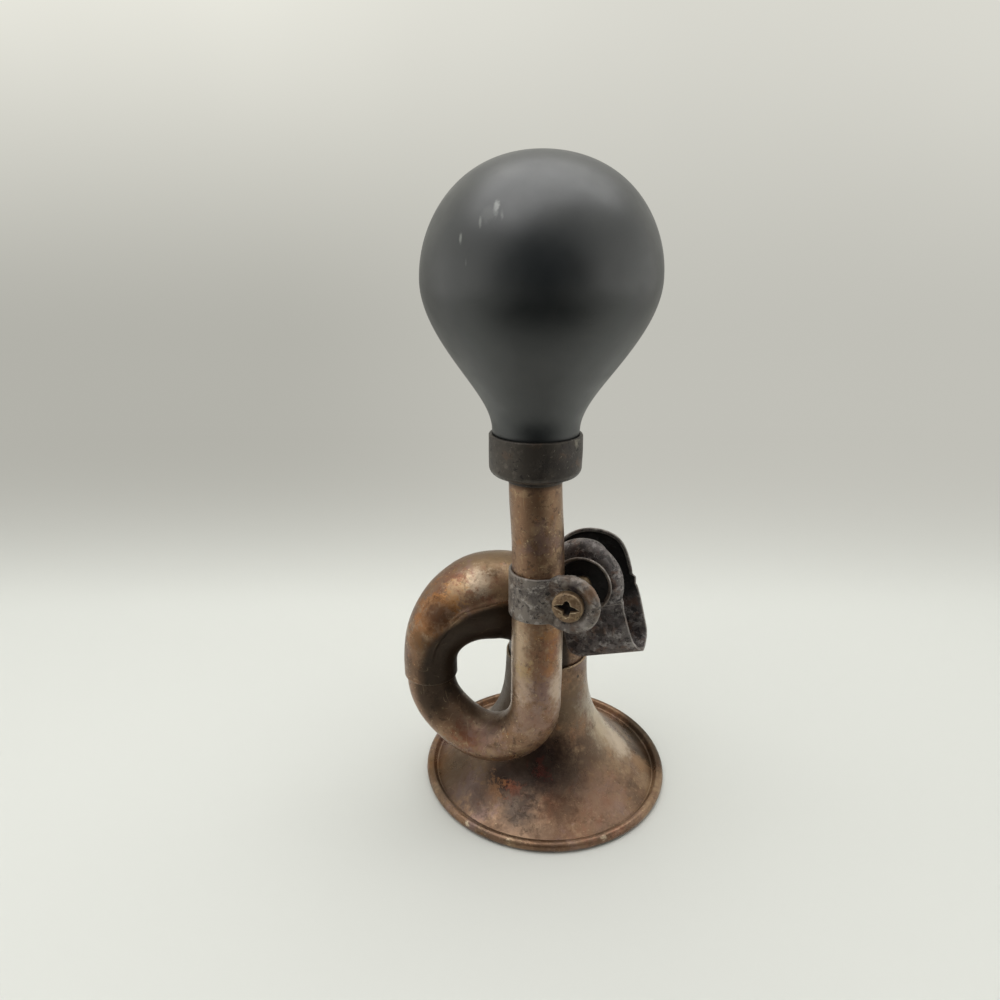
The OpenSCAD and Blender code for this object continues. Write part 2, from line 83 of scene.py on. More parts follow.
class Slot(Enum):
    """Finishes that the record names."""

    RUBBER = "rubber"
    DARK_METAL = "dark_metal"
    CLAMP_STEEL = "clamp_steel"
    PATINA_BRASS = "patina_brass"
    CLEAN_BRASS = "clean_brass"
    SCREW_METAL = "screw_metal"
    LEATHER = "leather"


class Body(Enum):
    """Bodies of the frame that pieces ride on."""

    HORN = "horn"
    REED = "reed"
    STRAP = "strap"
    SCREW = "screw"
    CLIP = "clip"


def srgb(red: int, green: int, blue: int) -> Colour:
    """Turns a display colour into a linear one.

    Args:
        red: Red from 0 to 255.
        green: Green from 0 to 255.
        blue: Blue from 0 to 255.

    Returns:
        The linear colour with full alpha.
    """
    def channel(v: int) -> float:
        """One channel, linear."""
        c = v / 255
        return c / 12.92 if c <= 0.04045 else ((c + 0.055) / 1.055) ** 2.4

    return channel(red), channel(green), channel(blue), 1.0


def smooth(u: Array) -> Array:
    """Soft step from 0 to 1."""
    c = np.clip(u, 0, 1)
    return c * c * (3 - 2 * c)


def lean(z: Array) -> Array:
    """Sideways lean of the tube's top, collar and bulb.

    Args:
        z: Heights in millimetres.

    Returns:
        Shift along X in millimetres at each height.
    """
    return sum(shift * smooth((z - start) / rise) for shift, start, rise in LEANS)


def ripple(points: Array, wavelength: float, amount: float, seed: int) -> Array:
    """Gentle hand-made unevenness.

    Args:
        points: Points in millimetres.
        wavelength: Typical length of a wave in millimetres.
        amount: Height of the waves in millimetres.
        seed: Seed of the wave directions.

    Returns:
        One offset per point.
    """
    rng = np.random.default_rng(seed)
    waves = 7
    total = np.zeros(len(points))
    for _ in range(waves):
        direction = rng.normal(size=3)
        direction *= 2 * math.pi / wavelength / np.linalg.norm(direction) * rng.uniform(0.6, 1.5)
        total += np.sin(points @ direction + rng.uniform(0, 2 * math.pi))
    return amount * total / math.sqrt(waves)


class Skin:
    """Points and faces of one piece, in millimetres."""

    def __init__(self) -> None:
        """Starts an empty skin."""
        self.points: list[Array] = []
        self.faces: list[tuple[int, ...]] = []
        self.count = 0

    def _add(self, points: Array) -> int:
        """Adds points.

        Args:
            points: One point or rows of points.

        Returns:
            The index of the first.
        """
        start = self.count
        self.points.append(np.atleast_2d(points))
        self.count += len(np.atleast_2d(points))
        return start

    def loft(self, rings: Sequence[Array], wrap: bool = False,
             first: Point | None = None, last: Point | None = None) -> "Skin":
        """Joins rings of equal length by quads.

        Args:
            rings: Rings of points, in order.
            wrap: Whether the last ring joins the first.
            first: Pole that closes the first ring.
            last: Pole that closes the last ring.

        Returns:
            This skin.
        """
        n = len(rings[0])
        starts = [self._add(r) for r in rings]
        pairs = list(zip(starts, starts[1:])) + ([(starts[-1], starts[0])] if wrap else [])
        for a, b in pairs:
            self.faces += [(a + k, a + (k + 1) % n, b + (k + 1) % n, b + k) for k in range(n)]
        for pole, start in ((first, starts[0]), (last, starts[-1])):
            if pole is not None:
                tip = self._add(np.array(pole))
                self.faces += [(tip, start + k, start + (k + 1) % n) for k in range(n)]
        return self

    def capped(self, rings: Sequence[Array]) -> "Skin":
        """Joins rings and closes both ends at their middles."""
        return self.loft(rings, first=tuple(rings[0].mean(axis=0)), last=tuple(rings[-1].mean(axis=0)))

    def array(self) -> Array:
        """All points as one array."""
        return np.concatenate(self.points)

    def piece(self, name: str, points: Array | None = None) -> Object:
        """Makes the mesh object.

        Args:
            name: Name of the piece.
            points: Moved points, or None for the skin's own.

        Returns:
            The new object, in the scene.
        """
        mesh = bpy.data.meshes.new(name)
        mesh.from_pydata((self.array() if points is None else points) * MM, [], self.faces)
        work = bmesh.new()
        work.from_mesh(mesh)
        bmesh.ops.recalc_face_normals(work, faces=work.faces)
        work.to_mesh(mesh)
        work.free()
        return finish_mesh(name, mesh)


def read_vectors(mesh: Mesh, what: str = "co") -> Array:
    """Reads the points of a mesh.

    Args:
        mesh: The mesh.
        what: "co" for places or "normal" for normals.

    Returns:
        One row per point.
    """
    values = np.empty(len(mesh.vertices) * 3)
    mesh.vertices.foreach_get(what, values)
    return values.reshape(-1, 3)


def read_pairs(mesh: Mesh) -> Array:
    """Reads the edges of a mesh.

    Args:
        mesh: The mesh.

    Returns:
        Pairs of points.
    """
    pairs = np.empty(len(mesh.edges) * 2, dtype=np.int64)
    mesh.edges.foreach_get("vertices", pairs)
    return pairs.reshape(-1, 2)


def neighbours(pairs: Array, count: int) -> tuple[Array, Array, Array]:
    """Finds which points share an edge.

    Args:
        pairs: Edges as pairs of points.
        count: Number of points.

    Returns:
        The points at both ends of each edge, the points across from them, and the number of
        neighbours of each point.
    """
    both = np.concatenate([pairs[:, 0], pairs[:, 1]])
    other = np.concatenate([pairs[:, 1], pairs[:, 0]])
    return both, other, np.maximum(np.bincount(both, minlength=count), 1)


def drop_layers(mesh: Mesh, *names: str) -> None:
    """Removes attributes that a copied or cut mesh brings along."""
    for layer in [a for a in mesh.attributes if a.name in names]:
        mesh.attributes.remove(layer)


def put(name: str, data: ID) -> Object:
    """Makes an object and puts it in the scene.

    Args:
        name: Name of the object.
        data: Its mesh, lamp or lens.

    Returns:
        The object.
    """
    obj = bpy.data.objects.new(name, data)
    bpy.context.scene.collection.objects.link(obj)
    return obj


def finish_mesh(name: str, mesh: Mesh) -> Object:
    """Shades a mesh smooth, marks its edges and puts it in the scene.

    Args:
        name: Name of the piece.
        mesh: Its mesh, in metres.

    Returns:
        The new object.
    """
    mesh.shade_smooth()
    mark_edges(mesh)
    return put(name, mesh)


def mark_edges(mesh: Mesh, full: float = 0.45, passes: int = 2) -> None:
    """Stores how sharply each point stands out or lies in, as the attribute "edge".

    Args:
        mesh: Mesh in metres.
        full: Edge radius in millimetres that counts as fully sharp.
        passes: Rounds of averaging with the neighbours.
    """
    n = len(mesh.vertices)
    co, normal = read_vectors(mesh) / MM, read_vectors(mesh, "normal")
    both, other, degree = neighbours(read_pairs(mesh), n)
    step = co[both] - co[other]
    out = np.bincount(both, weights=np.einsum("ij,ij->i", step, normal[both]), minlength=n) / degree
    length = np.bincount(both, weights=np.einsum("ij,ij->i", step, step), minlength=n) / degree
    edge = np.clip(2 * out / np.maximum(length, 1e-6) * full, -1, 1)
    for _ in range(passes):
        edge = 0.5 * edge + 0.5 * np.bincount(both, weights=edge[other], minlength=n) / degree
    layer = mesh.attributes.new("edge", "FLOAT", "POINT")
    layer.data.foreach_set("value", edge.astype(np.float32))


def paint(obj: Object, soot: Array) -> None:
    """Stores how much painted shade each point takes, with some dirt on the crook, as a point attribute.

    Args:
        obj: The piece.
        soot: One value from 0 to 1 per point.
    """
    layer = obj.data.attributes.new("soot", "FLOAT", "POINT")
    layer.data.foreach_set("value", np.clip(soot, 0, 1).astype(np.float32))


def melt(points: Array, pairs: Array, weight: Array, along: Array,
         passes: int) -> Array:
    """Evens out points along one direction, as a press does with a sheet.

    Args:
        points: Points in millimetres.
        pairs: Edges as pairs of points.
        weight: How far each point follows its neighbours, from 0 to 1.
        along: Direction in which points move.
        passes: Rounds of averaging.

    Returns:
        The moved points.
    """
    n = len(points)
    both, other, degree = neighbours(pairs, n)
    depth = points @ along
    start = depth.copy()
    for _ in range(passes):
        mean = np.bincount(both, weights=depth[other], minlength=n) / degree
        depth = depth + 0.6 * weight * (mean - depth)
    return points + np.outer(depth - start, along)


def rounded(corners: Sequence[tuple[float, float, float]], steps: int = 5) -> Array:
    """Rounds the corners of a closed outline.

    Args:
        corners: Corners as (x, y, radius).
        steps: Points on each rounded corner, less one.

    Returns:
        The outline's points.
    """
    flat = np.array([c[:2] for c in corners])
    points: list[Array] = []
    for i, (_, _, radius) in enumerate(corners):
        here, before, after = flat[i], flat[i - 1], flat[(i + 1) % len(flat)]
        u, v = (before - here), (after - here)
        u, v = u / np.linalg.norm(u), v / np.linalg.norm(v)
        half = math.acos(float(np.clip(u @ v, -1, 1))) / 2
        if radius <= 0 or half > math.pi / 2 - 1e-3:
            points.append(here)
            continue
        reach = radius / math.tan(half)
        centre = here + (u + v) / np.linalg.norm(u + v) * radius / math.sin(half)
        start, end = here + u * reach - centre, here + v * reach - centre
        for k in range(steps + 1):
            mixed = start * (1 - k / steps) + end * k / steps
            points.append(centre + mixed / np.linalg.norm(mixed) * radius)
    return np.array(points)


def bezier(ends: Sequence[Array], t: Array) -> Array:
    """Points on a cubic curve.

    Args:
        ends: Its four control points.
        t: Places along the curve from 0 to 1, as a column.

    Returns:
        One point per place.
    """
    return ((1 - t) ** 3 * ends[0] + 3 * t * (1 - t) ** 2 * ends[1] + 3 * t * t * (1 - t) * ends[2]
            + t ** 3 * ends[3])


def unit_rows(vectors: Array) -> Array:
    """Brings each row to a length of 1."""
    return vectors / np.linalg.norm(vectors, axis=1, keepdims=True)


def full_turn(sides: int) -> Array:
    """Angles of evenly spaced points round a ring."""
    return np.linspace(0, 2 * math.pi, sides, endpoint=False)


def on_axis(points: Array, axis: tuple[float, float]) -> Array:
    """Places on an upright axis at the heights of the given points."""
    return np.stack([np.full(len(points), axis[0]), np.full(len(points), axis[1]), points[:, 2]],
                    axis=1)


def spin(profile: Array, axis: tuple[float, float], sides: int) -> list[Array]:
    """Turns a profile round an upright axis.

    Args:
        profile: Points as (radius, height).
        axis: Place of the axis in plan.
        sides: Points on each ring.

    Returns:
        One ring per profile point.
    """
    turn = full_turn(sides)
    return [np.stack([axis[0] + r * np.cos(turn), axis[1] + r * np.sin(turn),
                      np.full(sides, z)], axis=1) for r, z in profile]


def draft_copy(node: str, name: str) -> Object:
    """Copies a node of the frame as a draft in millimetres.

    Args:
        node: Name of the node.
        name: Name of the draft.

    Returns:
        The draft.
    """
    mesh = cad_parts[node].data.copy()
    mesh.transform(Matrix.Scale(1 / MM, 4))
    return put(name, mesh)


def soften(draft: Object, voxel: float, passes: int,
           press: Callable[[Array, Array], Array] | None = None) -> Object:
    """Turns the draft of a pressed sheet into a piece with rounded edges and fillets.

    Args:
        draft: Object in millimetres, which is removed.
        voxel: Grid of the new mesh in millimetres.
        passes: Rounds of smoothing.
        press: Step that reshapes the points, given points and edges.

    Returns:
        The new object.
    """
    name = draft.name
    grid = draft.modifiers.new("grid", "REMESH")
    grid.mode = "VOXEL"
    grid.voxel_size = voxel
    round_off = draft.modifiers.new("round_off", "SMOOTH")
    round_off.factor = 0.5
    round_off.iterations = passes
    made = bpy.data.meshes.new_from_object(
        draft.evaluated_get(bpy.context.evaluated_depsgraph_get()))
    bpy.data.objects.remove(draft)
    made.materials.clear()
    drop_layers(made, "edge")
    points = read_vectors(made)
    if press is not None:
        points = press(points, read_pairs(made))
    made.vertices.foreach_set("co", (points * MM).ravel())
    made.update()
    return finish_mesh(name, made)


def cut(obj: Object, tool: Object) -> Object:
    """Cuts one object out of another.

    Args:
        obj: Object that is cut.
        tool: Object that is taken away, and removed.

    Returns:
        A new object with the cut mesh, under the same name.
    """
    name = obj.name
    knife = obj.modifiers.new("knife", "BOOLEAN")
    knife.operation = "DIFFERENCE"
    knife.solver = "EXACT"
    knife.use_self = True
    knife.object = tool
    made = bpy.data.meshes.new_from_object(
        obj.evaluated_get(bpy.context.evaluated_depsgraph_get()))
    bpy.data.objects.remove(obj)
    bpy.data.objects.remove(tool)
    drop_layers(made, "edge")
    return finish_mesh(name, made)


class Graph:
    """A shader node tree that is being wired."""

    def __init__(self, tree: NodeTree) -> None:
        """Takes the tree to wire."""
        self.tree = tree

    def node(self, kind: str, inputs: dict[str, Value] | None = None, **settings: object) -> Node:
        """Adds a node.

        Args:
            kind: Blender's name of the node type.
            inputs: Values or sockets for its inputs.
            **settings: Properties of the node.

        Returns:
            The node.
        """
        made = self.tree.nodes.new(kind)
        for key, value in settings.items():
            setattr(made, key, value)
        for key, value in (inputs or {}).items():
            self.feed(made.inputs[key], value)
        return made

    def feed(self, socket: NodeSocket, value: Value) -> None:
        """Links a socket or sets its value."""
        if isinstance(value, NodeSocket):
            self.tree.links.new(value, socket)
        else:
            socket.default_value = value

    def math(self, operation: str, a: Value, b: Value = 0.0, clamp: bool = False) -> NodeSocket:
        """Adds a Math node.

        Args:
            operation: Name of the operation.
            a: First value.
            b: Second value.
            clamp: Whether the result stays between 0 and 1.

        Returns:
            The result.
        """
        made = self.node("ShaderNodeMath", operation=operation, use_clamp=clamp)
        self.feed(made.inputs[0], a)
        self.feed(made.inputs[1], b)
        return made.outputs[0]

    def vector(self, operation: str, a: Value, b: Value | None = None) -> Node:
        """Adds a Vector Math node.

        Args:
            operation: Name of the operation.
            a: First vector.
            b: Second vector.

        Returns:
            The node.
        """
        made = self.node("ShaderNodeVectorMath", operation=operation)
        self.feed(made.inputs[0], a)
        if b is not None:
            self.feed(made.inputs[1], b)
        return made

    def mix(self, factor: Value, a: Value, b: Value) -> NodeSocket:
        """Mixes two colours.

        Args:
            factor: Share of the second colour.
            a: First colour.
            b: Second colour.

        Returns:
            The mixed colour.
        """
        made = self.node("ShaderNodeMix", data_type="RGBA")
        for socket, value in ((made.inputs[0], factor), (made.inputs[6], a), (made.inputs[7], b)):
            self.feed(socket, value)
        return made.outputs[2]

    def span(self, value: Value, low: Value, high: Value, start: float = 0.0, end: float = 1.0,
             soft: bool = True) -> NodeSocket:
        """Maps a range of values.

        Args:
            value: Value to map.
            low: Value that gives start.
            high: Value that gives end.
            start: Result at low.
            end: Result at high.
            soft: Whether the change eases in and out.

        Returns:
            The mapped value.
        """
        made = self.node("ShaderNodeMapRange", interpolation_type="SMOOTHSTEP" if soft else "LINEAR")
        for index, item in enumerate((value, low, high, start, end)):
            self.feed(made.inputs[index], item)
        return made.outputs[0]

    def lay(self, mask: Value, share: float, under: Value, tone: Tone) -> NodeSocket:
        """Lays a tone over a colour.

        Args:
            mask: Where the tone lies.
            share: Its greatest share.
            under: Colour below it.
            tone: The tone.

        Returns:
            The mixed colour.
        """
        return self.mix(self.math("MULTIPLY", mask, share), under, srgb(*tone))

    def add(self, total: Value, mask: Value, share: float) -> NodeSocket:
        """Adds a share of a mask to a value."""
        return self.math("ADD", total, self.math("MULTIPLY", mask, share))

    def effect(self, tree: NodeTree, **inputs: Value) -> Node:
        """Places a shared effect.

        Args:
            tree: The effect's node group.
            **inputs: Its input values.

        Returns:
            The group node.
        """
        made = self.node("ShaderNodeGroup", node_tree=tree)
        for key, value in inputs.items():
            self.feed(made.inputs[key], value)
        return made


class Effects:
    """Shader effects that several finishes share, each built once."""

    def __init__(self) -> None:
        """Builds every effect."""
        self.patches = self._patches()
        self.spot = self._spot()
        self.edges = self._edges()
        self.scratches = self._scratches()
        self.dust = self._dust()
        self.grain = self._grain()

    @staticmethod
    def _start(name: str, inputs: dict[str, Value], outputs: Iterable[str]
               ) -> tuple[Graph, dict[str, NodeSocket], dict[str, NodeSocket]]:
        """Starts a node group.

        Args:
            name: Name of the group.
            inputs: Default of each input, a number or a vector.
            outputs: Names of its value outputs.

        Returns:
            The graph, its inputs and its outputs.
        """
        tree = bpy.data.node_groups.new(name, "ShaderNodeTree")
        for key, default in inputs.items():
            kind = "NodeSocketVector" if isinstance(default, tuple) else "NodeSocketFloat"
            socket = tree.interface.new_socket(name=key, in_out="INPUT", socket_type=kind)
            socket.default_value = default
        for key in outputs:
            tree.interface.new_socket(name=key, in_out="OUTPUT", socket_type="NodeSocketFloat")
        graph = Graph(tree)
        given, out = graph.node("NodeGroupInput"), graph.node("NodeGroupOutput")
        return graph, dict(given.outputs.items()), dict(out.inputs.items())

    @staticmethod
    def _place(graph: Graph) -> NodeSocket:
        """Place on the object, in metres."""
        return graph.node("ShaderNodeTexCoord").outputs["Object"]

    def _patches(self) -> NodeTree:
        """Cloudy patches of one size.

        Returns:
            The group.
        """
        graph, given, out = self._start("cloudy_patches", {
            "Scale": 100.0, "Seed": 0.0, "Low": 0.45, "High": 0.6, "Detail": 9.0}, ["Mask"])
        noise = graph.node("ShaderNodeTexNoise", {
            "Vector": self._place(graph), "W": given["Seed"], "Scale": given["Scale"],
            "Detail": given["Detail"], "Roughness": 0.7, "Distortion": 0.4},
            noise_dimensions="4D")
        graph.feed(out["Mask"], graph.span(
            noise.outputs[0], given["Low"], given["High"]))
        return graph.tree

    def _spot(self) -> NodeTree:
        """One ragged spot at a place on the object.

        Returns:
            The group.
        """
        graph, given, out = self._start("ragged_spot", {
            "Centre": (0.0, 0.0, 0.0), "Reach": 0.005, "Ragged": 0.5, "Shape": (1.0, 1.0, 1.0)},
            ["Mask"])
        place = self._place(graph)
        away = graph.vector("LENGTH", graph.vector("MULTIPLY", graph.vector(
            "SUBTRACT", place, given["Centre"]).outputs[0], given["Shape"]).outputs[0])
        noise = graph.node("ShaderNodeTexNoise", {
            "Vector": place, "Scale": 420.0, "Detail": 9.0, "Roughness": 0.74})
        share = graph.math("DIVIDE", away.outputs["Value"], given["Reach"])
        wobble = graph.math("MULTIPLY", graph.math("SUBTRACT", noise.outputs[0], 0.5), 5.0)
        torn = graph.math("ADD", share, graph.math("MULTIPLY", wobble, given["Ragged"]))
        graph.feed(out["Mask"], graph.span(torn, 1.0, 0.25))
        return graph.tree

    def _edges(self) -> NodeTree:
        """Worn edges and dirty hollows.

        Returns:
            The group.
        """
        graph, given, out = self._start("edge_wear", {
            "Scale": 500.0, "Low": 0.12, "High": 0.4}, ["Worn", "Hollow"])
        edge = graph.node("ShaderNodeAttribute", attribute_name="edge").outputs["Fac"]
        noise = graph.node("ShaderNodeTexNoise", {
            "Vector": self._place(graph), "Scale": given["Scale"], "Detail": 4.0})
        broken = graph.span(noise.outputs[0], 0.32, 0.6, 0.25, 1.0)
        worn = graph.span(edge, given["Low"], given["High"])
        graph.feed(out["Worn"], graph.math("MULTIPLY", worn, broken))
        graph.feed(out["Hollow"], graph.span(edge, -0.05, -0.4))
        return graph.tree

    def _scratches(self) -> NodeTree:
        """Hair-thin curved scratches, broken into short runs.

        Returns:
            The group.
        """
        graph, given, out = self._start("hair_scratches", {
            "Stretch": (1.0, 1.0, 1.0), "Scale": 170.0, "Seed": 0.0, "Width": 0.007}, ["Mask"])
        place = graph.vector("MULTIPLY", self._place(graph), given["Stretch"]).outputs[0]
        line, part = [graph.node("ShaderNodeTexNoise", {
            "Vector": place, "W": given["Seed"], "Scale": graph.math(
                "MULTIPLY", given["Scale"], share), "Detail": 0.0},
            noise_dimensions="4D").outputs[0] for share in (1.0, 2.3)]
        off = graph.math("ABSOLUTE", graph.math("SUBTRACT", line, 0.5))
        thin = graph.span(off, given["Width"], 0.0)
        graph.feed(out["Mask"], graph.math("MULTIPLY", thin, graph.span(part, 0.6, 0.7)))
        return graph.tree

    def _dust(self) -> NodeTree:
        """Dust that lies on faces that look up.

        Returns:
            The group.
        """
        graph, given, out = self._start("settled_dust", {"Scale": 160.0, "Seed": 0.0}, ["Mask"])
        up = graph.node("ShaderNodeSeparateXYZ", {
            "Vector": graph.node("ShaderNodeNewGeometry").outputs["Normal"]}).outputs["Z"]
        noise = graph.node("ShaderNodeTexNoise", {
            "Vector": self._place(graph), "W": given["Seed"], "Scale": given["Scale"],
            "Detail": 7.0, "Roughness": 0.65}, noise_dimensions="4D")
        cover = graph.span(noise.outputs[0], 0.35, 0.7)
        graph.feed(out["Mask"], graph.math("MULTIPLY", graph.span(up, 0.0, 0.95), cover))
        return graph.tree

    def _grain(self) -> NodeTree:
        """Fine grain for relief and for gloss.

        Returns:
            The group.
        """
        graph, given, out = self._start("fine_grain", {"Scale": 1500.0}, ["Height", "Gloss"])
        place = self._place(graph)
        fine = graph.node("ShaderNodeTexNoise", {
            "Vector": place, "Scale": given["Scale"], "Detail": 6.0, "Roughness": 0.7})
        wide = graph.node("ShaderNodeTexNoise", {
            "Vector": place, "Scale": graph.math("MULTIPLY", given["Scale"], 0.12),
            "Detail": 5.0})
        graph.feed(out["Height"], graph.math(
            "ADD", graph.math("MULTIPLY", fine.outputs[0], 0.6),
            graph.math("MULTIPLY", wide.outputs[0], 0.4)))
        graph.feed(out["Gloss"], wide.outputs[0])
        return graph.tree


@dataclass(frozen=True)
class Spot:
    """A local patch of colour."""

    centre: Point  # Its middle in millimetres
    reach: float  # Its radius in millimetres
    colour: Tone  # Its colour
    strength: float = 0.8  # Greatest share of the colour
    ragged: float = 0.6  # How torn its edge is
    shape: Point = (1.0, 1.0, 1.0)  # How much it is drawn in along X, Y and Z


@dataclass(frozen=True)
class Layer:
    """Cloudy patches of one colour over a whole piece."""

    colour: Tone  # Colour of the patches
    scale: float  # Patches per metre
    low: float  # Noise level at which a patch begins
    high: float  # Noise level at which it is full
    strength: float  # Greatest share of the colour
    seed: float  # Seed of the pattern
    relief: float = 0.0  # Height of the patches in the relief, negative for pits
    gloss: float = 0.0  # Change of roughness in the patches


@dataclass(frozen=True)
class Finish:
    """A weathered surface in layers."""

    name: str  # Name of the material
    base: Tone  # Ground colour
    layers: tuple[Layer, ...] = ()  # Patches over the ground, in order
    spots: tuple[Spot, ...] = ()  # Local patches over the layers
    worn: Tone = (170, 150, 125)  # Colour of worn edges
    worn_share: float = 0.6  # Greatest share of the worn colour
    hollow: Tone = (24, 18, 14)  # Colour of dirt in hollows
    hollow_share: float = 0.7  # Greatest share of the dirt
    dust: Tone = (150, 145, 135)  # Colour of settled dust
    dust_share: float = 0.0  # Greatest share of the dust
    scratch: Tone = (165, 140, 108)  # Colour of scratches
    scratch_share: float = 0.0  # Greatest share of the scratches
    stretch: Point = (1.0, 1.0, 1.0)  # How scratches are drawn out along X, Y and Z
    roughness: float = 0.45  # Roughness without variation
    gloss_range: float = 0.2  # Spread of the roughness
    metallic: float = 0.3  # Metallic value of the surface
    specular: float = 0.5  # Specular level of the surface
    grain: float = 1500.0  # Scale of the fine grain
    relief: float = 0.25  # Strength of the relief
    soot: Tone = (34, 27, 20)  # Colour of painted shade, with some dirt on the crook, where a piece is painted with it
    soot_share: float = 0.0  # Greatest share of the painted shade

    def build(self, effects: Effects) -> Material:
        """Makes the material.

        Args:
            effects: The shared effects.

        Returns:
            The material.
        """
        material = bpy.data.materials.new(self.name)
        material.use_nodes = True
        graph = Graph(material.node_tree)
        shader = material.node_tree.nodes["Principled BSDF"]
        grain = graph.effect(effects.grain, Scale=self.grain)
        edges = graph.effect(effects.edges)
        height = grain.outputs["Height"]
        rough = graph.span(grain.outputs["Gloss"], 0.3, 0.7, self.roughness - self.gloss_range / 2,
                           self.roughness + self.gloss_range / 2, soft=False)
        colour: Value = srgb(*self.base)
        for layer in self.layers:
            mask = graph.effect(effects.patches, Scale=layer.scale, Seed=layer.seed, Low=layer.low,
                                High=layer.high).outputs["Mask"]
            colour = graph.lay(mask, layer.strength, colour, layer.colour)
            if layer.relief:
                height = graph.add(height, mask, layer.relief)
            if layer.gloss:
                rough = graph.add(rough, mask, layer.gloss)
        for spot in self.spots:
            mask = graph.effect(effects.spot, Centre=tuple(c * MM for c in spot.centre),
                                Reach=spot.reach * MM, Ragged=spot.ragged,
                                Shape=spot.shape).outputs["Mask"]
            colour = graph.lay(mask, spot.strength, colour, spot.colour)
        # Painted shade, with some dirt on the crook, from the values stored on the piece
        if self.soot_share:
            mask = graph.node("ShaderNodeAttribute", attribute_name="soot").outputs["Fac"]
            colour = graph.lay(mask, self.soot_share, colour, self.soot)
            rough = graph.add(rough, mask, SHADE_AND_DIRT_ROUGH)
        if self.scratch_share:
            for seed in SCRATCH_SEEDS:
                mask = graph.effect(effects.scratches, Stretch=self.stretch, Seed=seed).outputs["Mask"]
                colour = graph.lay(mask, self.scratch_share, colour, self.scratch)
        colour = graph.lay(edges.outputs["Hollow"], self.hollow_share, colour, self.hollow)
        colour = graph.lay(edges.outputs["Worn"], self.worn_share, colour, self.worn)
        rough = graph.add(rough, edges.outputs["Worn"], WORN_ROUGH)
        if self.dust_share:
            mask = graph.effect(effects.dust).outputs["Mask"]
            cover = graph.math("MULTIPLY", mask, self.dust_share)
            colour = graph.mix(cover, colour, srgb(*self.dust))
            rough = graph.add(rough, cover, DUST_ROUGH)
        bump = graph.node("ShaderNodeBump", {"Height": height, "Strength": self.relief,
                                             "Distance": BUMP_DEPTH})
        graph.feed(shader.inputs["Base Color"], colour)
        graph.feed(shader.inputs["Roughness"], graph.math("ADD", rough, 0.0, clamp=True))
        graph.feed(shader.inputs["Normal"], bump.outputs["Normal"])
        shader.inputs["Metallic"].default_value = self.metallic
        shader.inputs["Specular IOR Level"].default_value = self.specular
        return material


BROWN = (130, 100, 76)
DARK_BROWN = (64, 46, 33)
TAN = (172, 144, 112)
PALE = (205, 186, 158)
RED_BROWN = (130, 74, 50)
VIOLET = (130, 106, 104)
ORANGE = (166, 110, 54)
GOLD_BROWN = (126, 88, 44)
# Colour of the painted shadow and dark reflection under the tube's bend
BEND_SHADOW_RED = (38, 18, 11)


def patina(name: str, spots: tuple[Spot, ...] = (), fleck: float = 1.0, **changes: object) -> Finish:
    """Brown patina on brass sheet.

    Args:
        name: Name of the finish.
        spots: Local patches of the piece.
        fleck: Share of the fine flecks.
        **changes: Fields that differ on the piece.

    Returns:
        The finish.
    """
    fields: dict[str, object] = {
        "base": BROWN,
        "layers": (
            Layer(DARK_BROWN, 40, 0.49, 0.6, 0.6, 1.0),
            Layer(TAN, 75, 0.52, 0.62, 0.5, 2.0),
            Layer(RED_BROWN, 62, 0.53, 0.64, 0.5, 3.0),
            Layer(VIOLET, 85, 0.53, 0.63, 0.5, 4.0),
            Layer(TAN, 420, 0.54, 0.62, 0.5 * fleck, 5.0, relief=0.25),
            Layer(DARK_BROWN, 560, 0.53, 0.62, 0.5 * fleck, 6.0, relief=-0.5, gloss=0.12),
            Layer(ORANGE, 330, 0.58, 0.66, 0.5 * fleck, 7.0, relief=0.2),
            Layer((216, 192, 148), 1300, 0.6, 0.64, 0.75 * fleck, 8.0, relief=0.2),
            Layer((42, 30, 22), 1000, 0.61, 0.66, 0.6 * fleck, 9.0, relief=-0.4)),
        "spots": spots, "worn": (190, 166, 132), "worn_share": 0.5, "dust": (160, 148, 130),
        "dust_share": 0.12, "scratch": (214, 190, 150), "scratch_share": 0.3, "roughness": 0.31,
        "gloss_range": 0.16, "metallic": 0.64, "specular": 0.6, "relief": 0.2}
    fields.update(changes)
    return Finish(name, **fields)


TUBE_PATINA = patina("tube_patina", (
    Spot((-0.3, -22.4, 45.0), 8.0, VIOLET, 0.6, 0.8),
    Spot((-3.9, -22.5, 36.2), 8.0, (160, 134, 120), 0.5, 0.8),
    Spot((-19.7, -15.2, 26.1), 6.0, RED_BROWN, 0.7, 0.9),
    Spot((-15.0, -17.5, 27.0), 6.0, (150, 122, 112), 0.5, 0.9),
    # Painted highlights: pale streaks down the tube's left and right edges
    Spot((-7.2, -19.8, 55.5), 7.0, (204, 180, 152), 0.65, 0.4, (1.6, 1.0, 0.45)),
    Spot((4.5, -18.0, 54.0), 4.6, (212, 196, 176), 0.65, 0.4, (1.6, 1.0, 0.45)),
    Spot((-5.4, -21.4, 44.5), 5.0, (196, 170, 150), 0.55, 0.5, (1.3, 1.0, 0.7)),
    Spot((3.0, -21.0, 44.5), 4.5, (214, 192, 170), 0.65, 0.4, (1.4, 1.0, 0.6)),
    Spot((1.5, -21.5, 60.0), 3.0, ORANGE, 0.4, 1.8),
    Spot((1.0, -21.8, 50.5), 2.6, ORANGE, 0.5, 1.8),
    Spot((-5.5, -21.6, 50.0), 3.0, (176, 148, 104), 0.6, 1.8)),
    # Colour of the painted shade inside the bend, under the collar's ring and on the leg
    fleck=1.15, base=(140, 108, 83), stretch=(1.8, 1.8, 0.5), soot=(44, 33, 23), soot_share=0.85)

